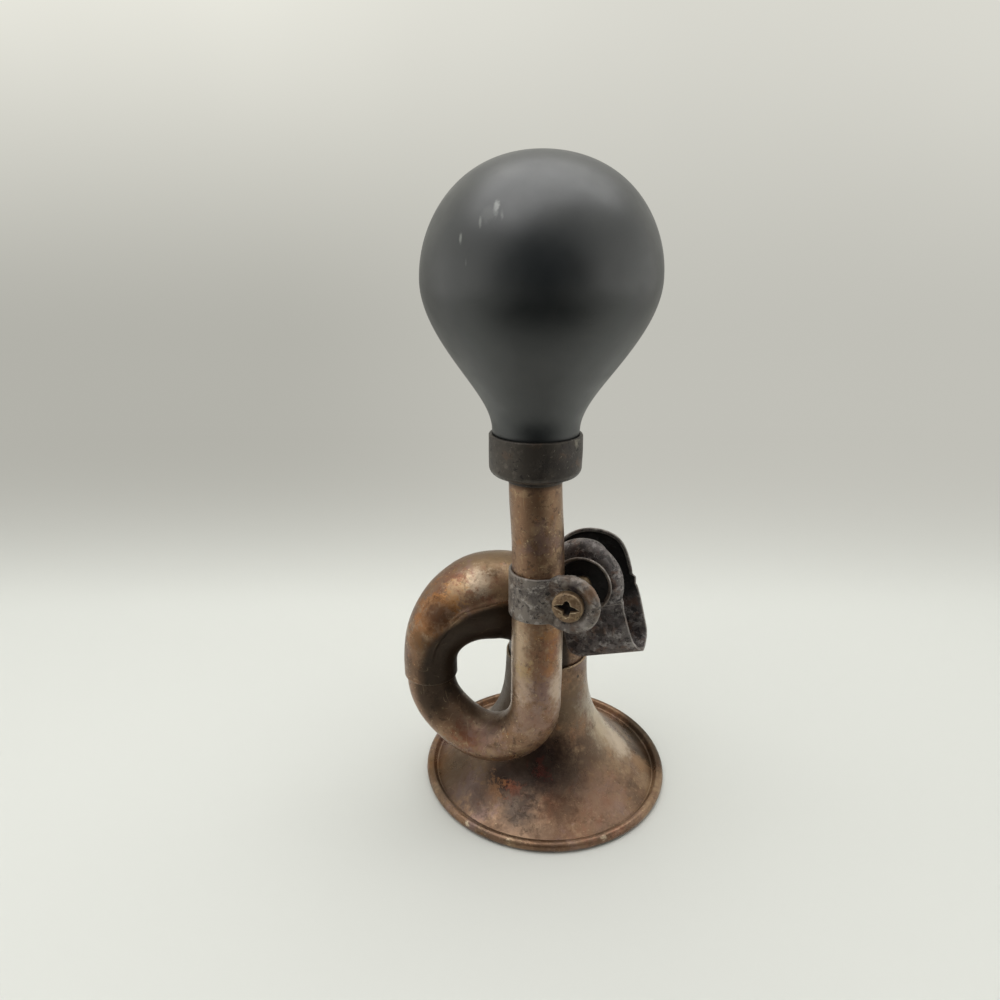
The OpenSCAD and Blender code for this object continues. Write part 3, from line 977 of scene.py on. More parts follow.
CROOK_PATINA = patina("crook_patina", (
    Spot((-13.5, -1.9, 71.6), 13.0, (124, 100, 68), 0.75, 0.6),
    # Painted sheen: pale patches along the crook's upper front
    Spot((-16.8, -8.4, 68.2), 5.5, (188, 168, 144), 0.8, 0.7),
    Spot((-23.3, -8.9, 66.2), 5.0, (188, 160, 122), 0.6, 0.8),
    Spot((-29.4, -8.5, 62.5), 6.0, ORANGE, 0.55, 1.6),
    Spot((-25.9, -9.4, 64.2), 4.5, ORANGE, 0.55, 1.6),
    Spot((-31.3, -10.4, 56.8), 6.0, (140, 90, 46), 0.7, 1.2),
    Spot((-34.1, -9.9, 52.1), 4.0, ORANGE, 0.4, 1.8),
    Spot((-32.5, -10.5, 52.0), 4.5, (90, 67, 45), 0.65, 0.6),
    Spot((-28.0, -11.0, 60.0), 5.5, (74, 44, 23), 0.85, 0.6),
    Spot((-10.5, -9.0, 66.5), 5.5, (150, 122, 92), 0.75, 0.6)),
    # Colour of the painted shade and dirt below the seam
    fleck=0.8, scratch_share=0.12, stretch=(0.6, 1.6, 1.6), soot=(40, 29, 18), soot_share=0.94,
    worn_share=0.15)

BELL_PATINA = patina("bell_patina", (
    Spot((8.5, -5.5, 28.0), 10.0, (94, 78, 60), 0.7, 0.5),
    Spot((14.0, -5.5, 13.5), 10.0, (82, 62, 46), 0.85, 0.3),
    # Painted highlight: whitish patches down the bell's right flank
    Spot((15.0, 4.5, 24.5), 11.0, (186, 174, 156), 0.6, 0.3),
    Spot((18.6, 4.7, 16.3), 11.0, PALE, 0.7, 0.3),
    Spot((23.2, 3.5, 10.1), 8.0, (200, 180, 158), 0.7, 0.3),
    Spot((16.2, -16.3, 5.4), 12.0, (150, 116, 96), 0.5, 0.7),
    Spot((4.8, -20.1, 5.5), 9.0, (130, 90, 64), 0.5, 0.8),
    # Painted shadow and dark reflection of the tube's bend on the bell
    Spot((5.2, -12.7, 12.6), 13.0, (46, 28, 18), 0.8, 0.2),
    Spot((-3.2, -11.6, 13.4), 14.0, BEND_SHADOW_RED, 0.95, 0.2),
    Spot((-11.6, -11.6, 8.8), 10.0, BEND_SHADOW_RED, 0.94, 0.2),
    Spot((-22.0, -4.0, 4.5), 15.0, (80, 60, 40), 0.85, 0.3),
    Spot((-20.0, -11.0, 4.2), 7.0, (104, 84, 84), 0.5, 0.9),
    Spot((-8.0, -15.3, 7.7), 3.0, (150, 80, 50), 0.45, 1.5),
    Spot((-14.0, -14.0, 6.0), 4.0, (150, 104, 64), 0.6, 1.5),
    Spot((0.0, -12.5, 13.0), 3.0, (100, 34, 24), 0.5, 1.2),
    Spot((-9.0, 2.0, 26.0), 12.0, (70, 54, 36), 0.75, 0.5),
    Spot((10.5, -2.1, 36.0), 0.9, (20, 15, 10), 0.95, 0.3),
    Spot((35.0, 6.0, 2.6), 11.0, (62, 42, 20), 0.9, 0.3),
    Spot((34.0, 19.0, 2.8), 13.0, (52, 36, 17), 0.92, 0.3),
    Spot((-30.5, 0.7, 1.4), 8.0, GOLD_BROWN, 0.7, 0.5),
    Spot((-11.5, -25.2, 3.2), 4.5, (126, 97, 76), 0.6, 0.5),
    Spot((-17.2, -14.7, 4.0), 7.0, (70, 52, 44), 0.75, 0.5),
    Spot((-6.5, -19.0, 4.8), 7.0, (42, 28, 22), 0.82, 0.2),
    Spot((-27.0, -2.0, 3.0), 8.0, (80, 60, 41), 0.7, 0.4),
    Spot((4.8, -20.1, 5.5), 6.0, (82, 55, 37), 0.7, 0.5),
    Spot((1.0, -27.0, 2.9), 8.0, (92, 66, 47), 0.7, 0.6),
    Spot((31.0, 1.5, 3.8), 5.0, (176, 136, 98), 0.65, 0.4),
    # Painted highlight, low on the bell's right flank
    Spot((25.0, 4.2, 8.8), 6.0, (222, 202, 180), 0.6, 0.3),
    Spot((-20.8, -21.9, 2.6), 1.1, PALE, 0.9, 1.0),
    Spot((-9.4, -27.6, 2.6), 0.9, PALE, 0.7, 1.2),
    Spot((16.1, -26.4, 2.6), 0.8, PALE, 0.6, 1.2)),
    fleck=0.55, scratch_share=0.08, stretch=(0.6, 0.6, 1.8), hollow=(92, 68, 42),
    # Colour of the painted shade on the bell's left side
    hollow_share=0.35, soot=(66, 46, 24), soot_share=0.95)

RUBBER = Finish(
    "bulb_rubber", (18, 23, 25),
    layers=(Layer((30, 34, 33), 60, 0.45, 0.7, 0.5, 11.0, gloss=0.05),
            Layer((14, 16, 17), 90, 0.5, 0.7, 0.5, 12.0),
            Layer((120, 122, 116), 900, 0.715, 0.74, 0.5, 13.0, relief=0.2)),
    spots=(Spot((-12.3, -36.9, 156.4), 1.5, (150, 152, 148), 0.85, 0.35, (2.0, 1.0, 0.5)),
           Spot((-11.2, -37.6, 154.2), 1.1, (120, 122, 119), 0.7, 0.35, (2.4, 1.0, 0.6)),
           Spot((-13.6, -36.9, 155.2), 1.9, (70, 73, 71), 0.6, 0.4, (1.0, 1.0, 0.7)),
           Spot((-15.2, -36.6, 153.4), 0.9, (112, 114, 110), 0.8, 0.35, (2.6, 1.0, 0.6)),
           Spot((-18.9, -35.0, 150.8), 0.9, (124, 126, 121), 0.8, 0.35, (2.2, 1.0, 0.6)),
           Spot((-17.9, -37.0, 146.4), 0.6, (80, 82, 79), 0.6, 0.35, (2.6, 1.0, 0.6)),
           Spot((-11.6, -39.6, 147.0), 0.8, (8, 9, 9), 0.9, 0.6),
           Spot((-7.4, -41.4, 143.2), 0.8, (8, 9, 9), 0.9, 0.6)),
    worn=(60, 62, 60), worn_share=0.2, dust=(96, 98, 90), dust_share=0.12,
    roughness=0.38, gloss_range=0.08, metallic=0.0, specular=0.9, grain=1900.0, relief=0.05)

COLLAR_METAL = Finish(
    "collar_metal", (71, 65, 59),
    layers=(Layer((46, 41, 40), 120, 0.47, 0.6, 0.65, 21.0),
            Layer((118, 110, 100), 180, 0.54, 0.66, 0.5, 22.0),
            Layer((110, 84, 66), 260, 0.56, 0.68, 0.5, 23.0, relief=0.2),
            Layer((24, 21, 20), 800, 0.57, 0.63, 0.7, 24.0, relief=-0.5, gloss=0.1),
            Layer((164, 156, 142), 1500, 0.61, 0.66, 0.65, 25.0, relief=0.2)),
    spots=(Spot((-11.6, -20.9, 102.4), 1.2, (170, 164, 148), 0.7, 1.0, (1.0, 1.0, 0.8)),
           Spot((-12.0, -20.3, 104.4), 0.9, (170, 164, 148), 0.7, 1.0, (1.6, 1.0, 0.6)),
           Spot((5.6, -22.6, 108.9), 1.3, (150, 144, 130), 0.6, 1.2)),
    worn=(176, 170, 154), worn_share=0.65, dust=(140, 136, 124), dust_share=0.12,
    scratch=(150, 143, 132), scratch_share=0.15, stretch=(1.6, 1.6, 0.6),
    roughness=0.42, gloss_range=0.16, metallic=0.6, specular=0.6, relief=0.3)

CLAMP_STEEL = Finish(
    "clamp_steel", (135, 126, 118),
    layers=(Layer((80, 74, 74), 150, 0.48, 0.58, 0.65, 31.0),
            Layer((190, 182, 174), 420, 0.51, 0.58, 0.65, 32.0, relief=0.2),
            Layer((70, 62, 60), 480, 0.51, 0.58, 0.6, 36.0, relief=-0.3),
            Layer((114, 88, 68), 200, 0.53, 0.63, 0.55, 33.0, relief=0.2, gloss=0.1),
            Layer((42, 40, 41), 700, 0.565, 0.61, 0.85, 34.0, relief=-0.8, gloss=0.12),
            Layer((200, 194, 184), 1500, 0.62, 0.67, 0.5, 35.0, relief=0.2)),
    spots=(Spot((9.6, -25.8, 74.2), 3.6, (124, 92, 66), 0.8, 0.5),
           Spot((4.5, -25.0, 77.2), 3.0, (112, 92, 78), 0.5, 0.6),
           # Painted shade in the groove at the screw head's upper right
           Spot((5.9, -24.6, 74.4), 2.6, (58, 54, 64), 0.75, 0.4),
           Spot((8.2, -26.0, 65.6), 3.0, (156, 150, 146), 0.45, 0.9),
           Spot((1.5, -23.6, 65.5), 4.0, (98, 82, 70), 0.5, 0.7)),
    worn=(146, 141, 135), worn_share=0.35, hollow=(20, 19, 20), hollow_share=0.7,
    dust=(150, 144, 136), dust_share=0.15, roughness=0.46, gloss_range=0.2, metallic=0.5,
    # Near-black colour of the painted shade inside the rear ear's cup
    relief=0.4, soot=(8, 8, 9), soot_share=0.96)

CLIP_STEEL = Finish(
    "clip_steel", (115, 108, 106),
    layers=(Layer((76, 70, 72), 130, 0.49, 0.6, 0.65, 41.0),
            Layer((178, 172, 168), 420, 0.51, 0.58, 0.65, 42.0, relief=0.2),
            Layer((120, 88, 70), 190, 0.52, 0.6, 0.6, 43.0, relief=0.3, gloss=0.1),
            Layer((44, 40, 42), 460, 0.5, 0.57, 0.75, 46.0, relief=-0.4),
            Layer((30, 28, 29), 620, 0.56, 0.62, 0.7, 44.0, relief=-0.7, gloss=0.12),
            Layer((170, 160, 150), 1200, 0.61, 0.66, 0.55, 45.0, relief=0.2)),
    spots=(Spot((17.0, -13.0, 60.0), 5.0, (62, 57, 58), 0.6, 0.6),),
    worn=(170, 163, 154), worn_share=0.5, hollow=(16, 15, 16), hollow_share=0.6,
    dust=(150, 144, 136), dust_share=0.25, roughness=0.44, gloss_range=0.2, metallic=0.5,
    # Near-black colour of the painted shade inside the clip's rear end
    relief=0.5, soot=(9, 9, 10), soot_share=0.95)

SCREW_METAL = Finish(
    "screw_metal", (142, 118, 92),
    layers=(Layer((92, 66, 44), 300, 0.46, 0.6, 0.65, 51.0),
            Layer((176, 152, 116), 520, 0.52, 0.6, 0.55, 52.0, relief=0.2),
            Layer((52, 36, 24), 800, 0.55, 0.62, 0.7, 53.0, relief=-0.5, gloss=0.1),
            Layer((214, 196, 162), 1400, 0.61, 0.65, 0.7, 54.0, relief=0.2)),
    worn=(206, 188, 154), worn_share=0.6, hollow=(16, 9, 6), hollow_share=0.95,
    # Near-black colour of the painted shade in the cross recess
    roughness=0.4, gloss_range=0.16, metallic=0.55, relief=0.4, soot=(10, 5, 3),
    soot_share=0.98)

CLEAN_BRASS = Finish(
    "clean_brass", (168, 140, 84),
    layers=(Layer((120, 92, 52), 160, 0.45, 0.65, 0.6, 61.0),
            Layer((86, 62, 38), 500, 0.58, 0.7, 0.5, 62.0, relief=-0.3)),
    roughness=0.36, gloss_range=0.14, metallic=0.9, relief=0.15)

LEATHER = Finish(
    "washer_leather", (104, 74, 48),
    layers=(Layer((66, 44, 28), 240, 0.45, 0.65, 0.7, 71.0, relief=0.4),
            Layer((140, 106, 72), 900, 0.55, 0.7, 0.4, 72.0, relief=-0.3)),
    roughness=0.75, gloss_range=0.15, metallic=0.0, relief=0.5)


def dress(obj: Object, material: Material, body: Body,
          nodes: Sequence[str]) -> Object:
    """Gives a piece its finish, its body and the nodes that it stands for.

    Args:
        obj: The piece.
        material: Its material.
        body: Body that it rides on.
        nodes: Nodes of the frame that it replaces.

    Returns:
        The piece.
    """
    obj.data.materials.clear()
    obj.data.materials.append(material)
    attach(obj, body.value)
    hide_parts(*nodes)
    LOG.info("%s: %d points, rides on %s", obj.name, len(obj.data.vertices), body.value)
    return obj


def shift_plan(points: Array) -> Array:
    """Leans points with the tube's top."""
    return points + np.outer(lean(points[:, 2]), (1, 0, 0))


def push_out(points: Array, centres: Array, offset: Array) -> Array:
    """Moves points away from their centres.

    Args:
        points: Points in millimetres.
        centres: One centre per point.
        offset: How far each point moves.

    Returns:
        The moved points.
    """
    away = points - centres
    length = np.maximum(np.linalg.norm(away, axis=1, keepdims=True), 1e-6)
    return points + away / length * offset[:, None]


@dataclass
class RubberBulb:
    """Pear-shaped squeeze bulb with its neck in the collar."""

    radius: float = 25.95  # Radius of the head
    middle: float = 143.3  # Height of the head's middle
    flat_top: float = 0.033  # Share of the radius by which the top is flattened
    wall: float = 2.4  # Thickness of the rubber
    neck_r: float = 9.9  # Radius of the neck in the collar
    lip_r: float = 10.1  # Radius of the rubber where it swells over the collar's edge
    foot_r: float = 8.25  # Radius of the bound foot of the neck
    foot_z: float = 102.9  # Height of the foot
    bore_r: float = 6.2  # Radius of the neck's bore
    bore_top: float = 117.0  # Height at which the bore widens into the bulb
    bound_z: float = 104.7  # Height up to which the neck is bound
    shoulder_z: float = 106.1  # Height at which the neck fills the collar
    wave: Wave = (34, 0.1, 5)  # Ripple of the rubber
    even_z: float = 114.0  # Height up to which it doesn't ripple
    even_rise: float = 12.0  # Rise over which the ripple grows
    sides: int = 128  # Points on each ring
    travel: float = 20.0  # How far the head goes down when the bulb is squeezed

    def side(self, t: Array, inset: float) -> Array:
        """Side of the pear from the collar to the middle.

        Args:
            t: Places along the side from 0 to 1.
            inset: Distance inside the outer face.

        Returns:
            Points as (radius, height).
        """
        low = COLLAR_TOP + 1.2
        reach = self.middle - low
        p = np.array([[self.lip_r, low], [self.lip_r + 0.3, low + 0.27 * reach],
                      [self.radius, low + 0.61 * reach], [self.radius, self.middle]])
        t = t[:, None]
        point = bezier(p, t)
        run = (1 - t) ** 2 * (p[1] - p[0]) + 2 * t * (1 - t) * (p[2] - p[1]) + t * t * (p[3] - p[2])
        run = unit_rows(run)
        return point + inset * np.stack([-run[:, 1], run[:, 0]], axis=1)

    def dome(self, inset: float) -> Array:
        """Upper half of the head without its pole, from the middle up.

        Args:
            inset: Distance inside the outer face.

        Returns:
            Points as (radius, height).
        """
        turn = np.linspace(0, math.pi / 2, 44)[1:-1]
        r = self.radius - inset
        high = np.sin(turn) * (1 - self.flat_top * np.sin(turn) ** 4)
        return np.stack([r * np.cos(turn), self.middle + r * high], axis=1)

    def build(self, material: Material) -> Object:
        """Builds and dresses the bulb.

        Args:
            material: Its rubber.

        Returns:
            The bulb.
        """
        outside = self.side(np.linspace(0, 1, 48), 0)
        inside = self.side(np.linspace(0.25, 1, 36), self.wall)[::-1]
        neck = np.array([
            [self.bore_r, self.bore_top], [self.bore_r, self.foot_z],
            [self.foot_r - 0.3, self.foot_z], [self.foot_r, self.foot_z + 0.3],
            [self.foot_r, self.bound_z], [self.neck_r, self.shoulder_z],
            [self.neck_r, COLLAR_TOP - 0.4], [self.neck_r + 0.08, COLLAR_TOP + 0.1],
            [self.lip_r - 0.05, COLLAR_TOP + 0.5]])
        profile = np.concatenate([self.dome(self.wall)[::-1], inside, neck, outside, self.dome(0)])
        skin = Skin().loft(
            spin(profile, TUBE_AXIS, self.sides),
            first=(*TUBE_AXIS, self.middle + (self.radius - self.wall) * (1 - self.flat_top)),
            last=(*TUBE_AXIS, self.middle + self.radius * (1 - self.flat_top)))
        points = skin.array()
        centres = np.tile([*TUBE_AXIS, self.middle], (len(points), 1))
        soft = smooth((points[:, 2] - self.even_z) / self.even_rise)
        points = push_out(points, centres, soft * ripple(points, *self.wave))
        bulb = skin.piece("rubber_bulb", shift_plan(points))
        dress(bulb, material, Body.HORN, ["bulb"])
        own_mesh(bulb)
        return bulb


@dataclass
class TopCup:
    """Collar that hides the bulb's neck, with the thin ring below it."""

    radius: float = 10.85  # Outside radius of the collar
    wall: float = 0.9  # Thickness of its sheet
    corner: float = 2.0  # Radius of its lower edge
    bore: float = 5.5  # Radius of the hole in its floor
    ring_r: float = 6.9  # Outside radius of the ring
    ring_h: float = 1.5  # Height of the ring
    ring_bore: float = 6.4  # Radius of the ring's hole
    wave: tuple[float, float] = (9, 0.05)  # Length and height of the ripple
    sides: int = 128  # Points on each ring of the meshes

    def build(self, material: Material) -> list[Object]:
        """Builds and dresses both pieces.

        Args:
            material: Their dark metal.

        Returns:
            The collar and the ring.
        """
        inner = self.radius - self.wall
        cup = rounded([
            (self.bore, TUBE_TOP, 0.1), (self.radius, TUBE_TOP, self.corner),
            (self.radius + 0.05, TUBE_TOP + 6, 0.0), (self.radius, COLLAR_TOP, 0.4),
            (inner, COLLAR_TOP, 0.3), (inner, TUBE_TOP + self.wall, self.corner - self.wall),
            (self.bore, TUBE_TOP + self.wall, 0.1)], 8)
        low = TUBE_TOP - self.ring_h
        band = rounded([(self.ring_bore, low, 0.05), (self.ring_r - 0.1, low, 0.2),
                        (self.ring_r, TUBE_TOP, 0.1), (self.ring_bore, TUBE_TOP, 0.05)], 6)
        made = []
        for name, profile, node, seed in (("neck_collar", cup, "bulb_collar", 8),
                                          ("collar_lip", band, "tube_ring", 9)):
            skin = Skin().loft(spin(dense(profile, 0.5), TUBE_AXIS, self.sides), wrap=True)
            points = skin.array()
            points = push_out(points, on_axis(points, TUBE_AXIS), ripple(points, *self.wave, seed))
            made.append(dress(skin.piece(name, shift_plan(points)), material, Body.HORN,
                              [node]))
        return made


def dense(outline: Array, step: float) -> Array:
    """Adds points to the long sides of a closed outline.

    Args:
        outline: The outline's points.
        step: Longest side that stays.

    Returns:
        The outline with more points.
    """
    points: list[Array] = []
    for here, after in zip(outline, np.roll(outline, -1, axis=0)):
        count = max(1, math.ceil(float(np.linalg.norm(after - here)) / step))
        points += [here + (after - here) * k / count for k in range(count)]
    return np.array(points)


@dataclass
class HornTube:
    """Straight tube with the lower bend and the short left leg."""

    top_r: float = 6.3  # Outside radius at the top
    bend_r: float = 6.6  # Outside radius at the bend
    wall: float = 0.8  # Thickness of the wall
    bend_z: float = 38.0  # Height at which the bend starts
    leg_top: float = 42.0  # Height of the leg's end
    sides: int = 96  # Points on each ring
    flat: float = 0.9  # How much the lower left of the bend is drawn in
    flat_at: float = 128.0  # Angle of the bend at which it is drawn in most
    flat_reach: float = 30.0  # Angle over which that fades
    squeeze: float = 0.03  # Share by which the bend's section is flattened
    wave: Wave = (15, 0.035, 14)  # Ripple of the wall

    @staticmethod
    def way() -> Array:
        """Level direction from the straight tube to the leg."""
        across = np.array([*LEG_AXIS, 0]) - np.array([*TUBE_AXIS, 0])
        return across / np.linalg.norm(across)

    def stations(self) -> list[tuple[Array, Array, float]]:
        """Lays out the tube from its top.

        Returns:
            Centre, outward direction and radius of each ring.
        """
        tube, leg = np.array(TUBE_AXIS), np.array(LEG_AXIS)
        way = self.way()
        radius = np.linalg.norm(leg - tube) / 2
        middle = np.array([*(tube + leg) / 2, self.bend_z])
        made = []
        for z in np.linspace(TUBE_TOP, self.bend_z, 90, endpoint=False):
            share = (z - self.bend_z) / (TUBE_TOP - self.bend_z)
            made.append((np.array([*tube, z]), -way,
                         self.bend_r + (self.top_r - self.bend_r) * share))
        for a in np.linspace(0, math.pi, 97):
            out = -math.cos(a) * way - np.array([0, 0, math.sin(a)])
            drawn = self.flat * math.exp(-((math.degrees(a) - self.flat_at) / self.flat_reach) ** 2)
            made.append((middle + (radius - drawn) * out, out, self.bend_r))
        for z in np.linspace(self.bend_z, self.leg_top, 8)[1:]:
            made.append((np.array([*leg, z]), way, self.bend_r))
        return made

    def build(self, material: Material) -> Object:
        """Builds and dresses the tube.

        Args:
            material: Its patina.

        Returns:
            The tube.
        """
        stations = self.stations()
        turn = full_turn(self.sides)
        way = self.way()
        side = np.array([-way[1], way[0], 0])
        rings, centres, soot = [], [], []
        for inset, order in ((0.0, stations), (self.wall, stations[::-1])):
            for centre, out, r in order:
                bent = max(0.0, -out[2])
                ring = (centre + (r - inset) * (1 - self.squeeze * bent) * np.outer(np.cos(turn), out)
                        + (r - inset) * (1 + self.squeeze * bent) * np.outer(np.sin(turn), side))
                rings.append(ring)
                centres.append(np.tile(centre, (self.sides, 1)))
                # Painted shade inside the bend, a painted shadow line under the collar's ring, and painted
                # shade on the leg all round but its outer side
                past = (out @ way - 0.5) / 0.45
                inner = 0.7 * smooth((-np.cos(turn) - 0.35) / 0.4) * min(1.0, 2 * bent)
                inner = np.maximum(inner, float(smooth((centre[2] - TUBE_TOP + 2.4) / 0.6)))
                soot.append(np.maximum(inner, smooth((0.5 - np.cos(turn)) / 0.5) * float(smooth(past))))
        skin = Skin().loft(rings, wrap=True)
        points = skin.array()
        points = push_out(points, np.concatenate(centres), ripple(points, *self.wave))
        pipe = skin.piece("horn_pipe", shift_plan(points))
        paint(pipe, np.concatenate(soot))
        return dress(pipe, material, Body.HORN, ["horn_tube"])


@dataclass
class LoopCrook:
    """Tapering upper bend of the loop, brazed along its front."""

    joint_z: float = 39.0  # Height of the joint with the tube
    bend_z: float = 42.8  # Height at which the bend starts
    start_r: float = 7.28  # Outside radius at the joint
    full_r: float = 12.2  # Greatest outside radius
    end_r: float = 10.92  # Outside radius in the bell's throat
    wall: float = 0.6  # Thickness of the sheet
    spread: float = 92.0  # Angle over which the crook widens
    hold: float = 15.0  # Angle over which it stays wide
    narrow: float = 175.0  # Angle at which it has narrowed again
    throat_z: float = 40.0  # Height of the bell's throat edge
    depth: float = 3.0  # Depth of the socket in the throat
    seam_angle: float = 74.0  # Place of the seam round the section
    seam_h: float = 0.35  # Height of the seam
    step: float = 0.4  # How far the inner half sheet lies back under the seam
    lip: float = 0.25  # Height of the rounded edge over the joint
    wave: Wave = (13, 0.06, 21)  # Ripple of the sheet
    even_z: float = 44.0  # Height up to which it doesn't ripple
    even_rise: float = 8.0  # Rise over which the ripple grows
    sides: int = 144  # Points on each ring

    def radius(self, angle: float) -> float:
        """Outside radius at an angle of the bend."""
        full = self.spread + self.hold
        return float(self.start_r + (self.full_r - self.start_r) * smooth(angle / self.spread)
                     + (self.end_r - self.full_r) * smooth((angle - full) / (self.narrow - full)))

    def relief(self, angle: float, turn: Array) -> Array:
        """Seam and step round the section.

        Args:
            angle: Angle of the bend.
            turn: Angles round the section in degrees.

        Returns:
            Height over the round section.
        """
        # The seam fades out at both ends, wanders and is beaded; behind it the sheet lies back
        fade = float(smooth(angle / 24) * smooth((168 - angle) / 30))
        place = self.seam_angle + 2.0 * math.sin(angle / 13) + 1.2 * math.sin(angle / 5.3)
        off = turn - place
        beaded = 1 + 0.25 * math.sin(angle / 4.1) + 0.15 * math.sin(angle / 1.9)
        bead = np.exp(-(off / 3.2) ** 2) * beaded
        under = np.where(off > 0, smooth(off / 5) * np.exp(-np.maximum(off, 0) / 55), 0)
        return fade * (self.seam_h * bead - self.step * under)

    def soot(self, angle: float, turn: Array) -> Array:
        """Painted shade on the inner half below the seam, with some dirt.

        Args:
            angle: Angle of the bend.
            turn: Angles round the section in degrees.

        Returns:
            Values from 0 to 1.
        """
        # Along the bend the edge of the painted shade climbs to the seam and sharpens
        edge = self.seam_angle - 36 + 34 * float(smooth(angle / 55))
        width = 32 - 22 * float(smooth(angle / 45))
        return smooth((turn - edge) / width) * smooth((258 - turn) / 70)

    def build(self, material: Material) -> Object:
        """Builds and dresses the crook.

        Args:
            material: Its patina.

        Returns:
            The crook.
        """
        leg, bell = np.array(LEG_AXIS), np.array(BELL_AXIS)
        way = (bell - leg) / np.linalg.norm(bell - leg)
        reach = np.linalg.norm(bell - leg) / 2
        middle = (bell + leg) / 2
        front = np.array([way[1], -way[0], 0])
        line = [(0.0, self.joint_z, -self.lip), (0.0, self.joint_z + 0.08, -0.07),
                (0.0, self.joint_z + self.lip, 0.0)]
        line += [(0.0, z, 0.0) for z in np.linspace(self.joint_z + 0.8, self.bend_z, 5)]
        line += [(a, self.bend_z, 0.0) for a in np.linspace(0, 180, 121)[1:]]
        line += [(180.0, z, 0.0) for z in np.linspace(self.bend_z, self.throat_z - self.depth, 8)[1:]]
        degrees = np.linspace(0, 360, self.sides, endpoint=False)
        turn = np.radians(degrees)
        rings, centres, soot = [], [], []
        for inner, order in ((False, line), (True, line[::-1])):
            for angle, z, swell in order:
                a = math.radians(angle)
                plan = middle - reach * math.cos(a) * way
                centre = np.array([plan[0], plan[1], z + reach * math.sin(a)])
                out = np.array([-math.cos(a) * way[0], -math.cos(a) * way[1], math.sin(a)])
                r = np.full(self.sides, self.radius(angle))
                r += -self.wall if inner else swell + self.relief(angle, degrees)
                rings.append(centre + np.outer(r * np.cos(turn), out) + np.outer(r * np.sin(turn), front))
                centres.append(np.tile(centre, (self.sides, 1)))
                # Painted shade: the inside is dark all over, the outside below the seam
                soot.append(np.ones(self.sides) if inner else self.soot(angle, degrees))
        skin = Skin().loft(rings, wrap=True)
        points = skin.array()
        soft = smooth((points[:, 2] - self.even_z) / self.even_rise)
        points = push_out(points, np.concatenate(centres), soft * ripple(points, *self.wave))
        crook = skin.piece("loop_crook", points)
        paint(crook, np.concatenate(soot))
        return dress(crook, material, Body.HORN, ["upper_crook"])


@dataclass
class FlaredBell:
    """Spun bell with a rolled rim."""

    radius: float = 36.0  # Radius over the rim
    height: float = 40.0  # Height of the throat edge
    throat_r: float = 11.0  # Inside radius of the throat
    wall: float = 0.7  # Thickness of the sheet
    power: float = 3.1  # Sharpness of the flare
    slope: float = 0.03  # Widening of the throat per millimetre
    wire_gap_r: float = 0.76  # Inside radius of the rolled edge
    tuck: float = 0.9  # Share of the roll that the flare runs under
    roll_end: float = 104.0  # Angle at which the rolled edge turns to the flare
    run_out: float = 0.5  # How far the burnished edge runs out on the flare
    lip: float = 0.18  # Rounding of the throat's edge
    wave: Wave = (24, 0.12, 31)  # Ripple of the sheet
    even_low: float = 1.5  # Height at the rim up to which it doesn't ripple
    even_high: float = 38.0  # Height at the throat from which it doesn't ripple
    even_rise: float = 8.0  # Rise over which the ripple grows
    sides: int = 192  # Points on each ring

    def profile(self) -> Array:
        """Closed outline of the sheet.

        Returns:
            Points as (radius, height).
        """
        roll = self.wire_gap_r + self.wall
        mid = np.array([self.radius - roll, roll])
        mouth = mid[0] - roll * self.tuck
        z = self.height * (1 - np.linspace(0, 1, 110)) ** 1.6
        u = (self.height - z) / self.height
        grow = mouth - self.throat_r - self.slope * self.height
        r = self.throat_r + self.slope * (self.height - z) + grow * u ** self.power
        run = -self.slope - grow * self.power * u ** (self.power - 1) / self.height
        normal = unit_rows(np.stack([np.ones_like(run), -run], axis=1))
        inside = np.stack([r, z], axis=1)
        outside = inside + self.wall * normal
        turn = np.radians(np.linspace(-90, self.roll_end, 34))
        arc = np.stack([np.cos(turn), np.sin(turn)], axis=1)
        back = np.radians(np.linspace(180, -90, 34))
        cavity = mid + self.wire_gap_r * np.stack([np.cos(back), np.sin(back)], axis=1)
        lip, throat_out = self.lip, self.throat_r + self.wall
        top = [[self.throat_r, self.height - lip], [self.throat_r + lip, self.height],
               [throat_out - lip, self.height], [throat_out, self.height - lip]]
        keep_in = inside[(z < self.height - 0.5) & (r < mid[0] - 0.2)]
        keep_out = outside[(outside[:, 1] < self.height - 0.5) & (outside[:, 0] < mid[0] - 0.15)][::-1]
        over = keep_out[np.argsort(keep_out[:, 0])]
        tip_r = mid[0] - roll - self.run_out
        under_r = np.linspace(tip_r, mid[0] - roll + 0.15, 8)
        under = np.stack([under_r, np.interp(under_r, over[:, 0], over[:, 1]) + 0.02], axis=1)
        fall = (under[1] - under[0]) / (under[1, 0] - under[0, 0])
        ends = [mid + roll * arc[-1], mid + roll * arc[-1] + 0.7 * np.array([-arc[-1, 1], arc[-1, 0]]),
                under[0] + [0, 0.01] + 0.7 * fall, under[0] + [0, 0.01]]
        edge = bezier(ends, np.linspace(0, 1, 16)[1:, None])
        return np.concatenate([[top[1], top[0]], keep_in, mid + roll * arc, edge, under[1:], cavity,
                               keep_out, [top[3], top[2]]])

    def build(self, material: Material) -> Object:
        """Builds and dresses the bell.

        Args:
            material: Its patina.

        Returns:
            The bell.
        """
        skin = Skin().loft(spin(self.profile(), BELL_AXIS, self.sides), wrap=True)
        points = skin.array()
        centres = on_axis(points, BELL_AXIS)
        soft = (smooth((points[:, 2] - self.even_low) / self.even_rise)
                * smooth((self.even_high - points[:, 2]) / self.even_rise))
        points = push_out(points, centres, soft * ripple(points, *self.wave))
        bell = skin.piece("bell_flare", points)
        away = unit_rows(points - centres)
        # Painted shade: the bell's left side is darker from 9 mm up
        paint(bell, smooth((-away[:, 0] - 0.1) / 0.5) * smooth((points[:, 2] - 9) / 8))
        return dress(bell, material, Body.HORN, ["bell"])


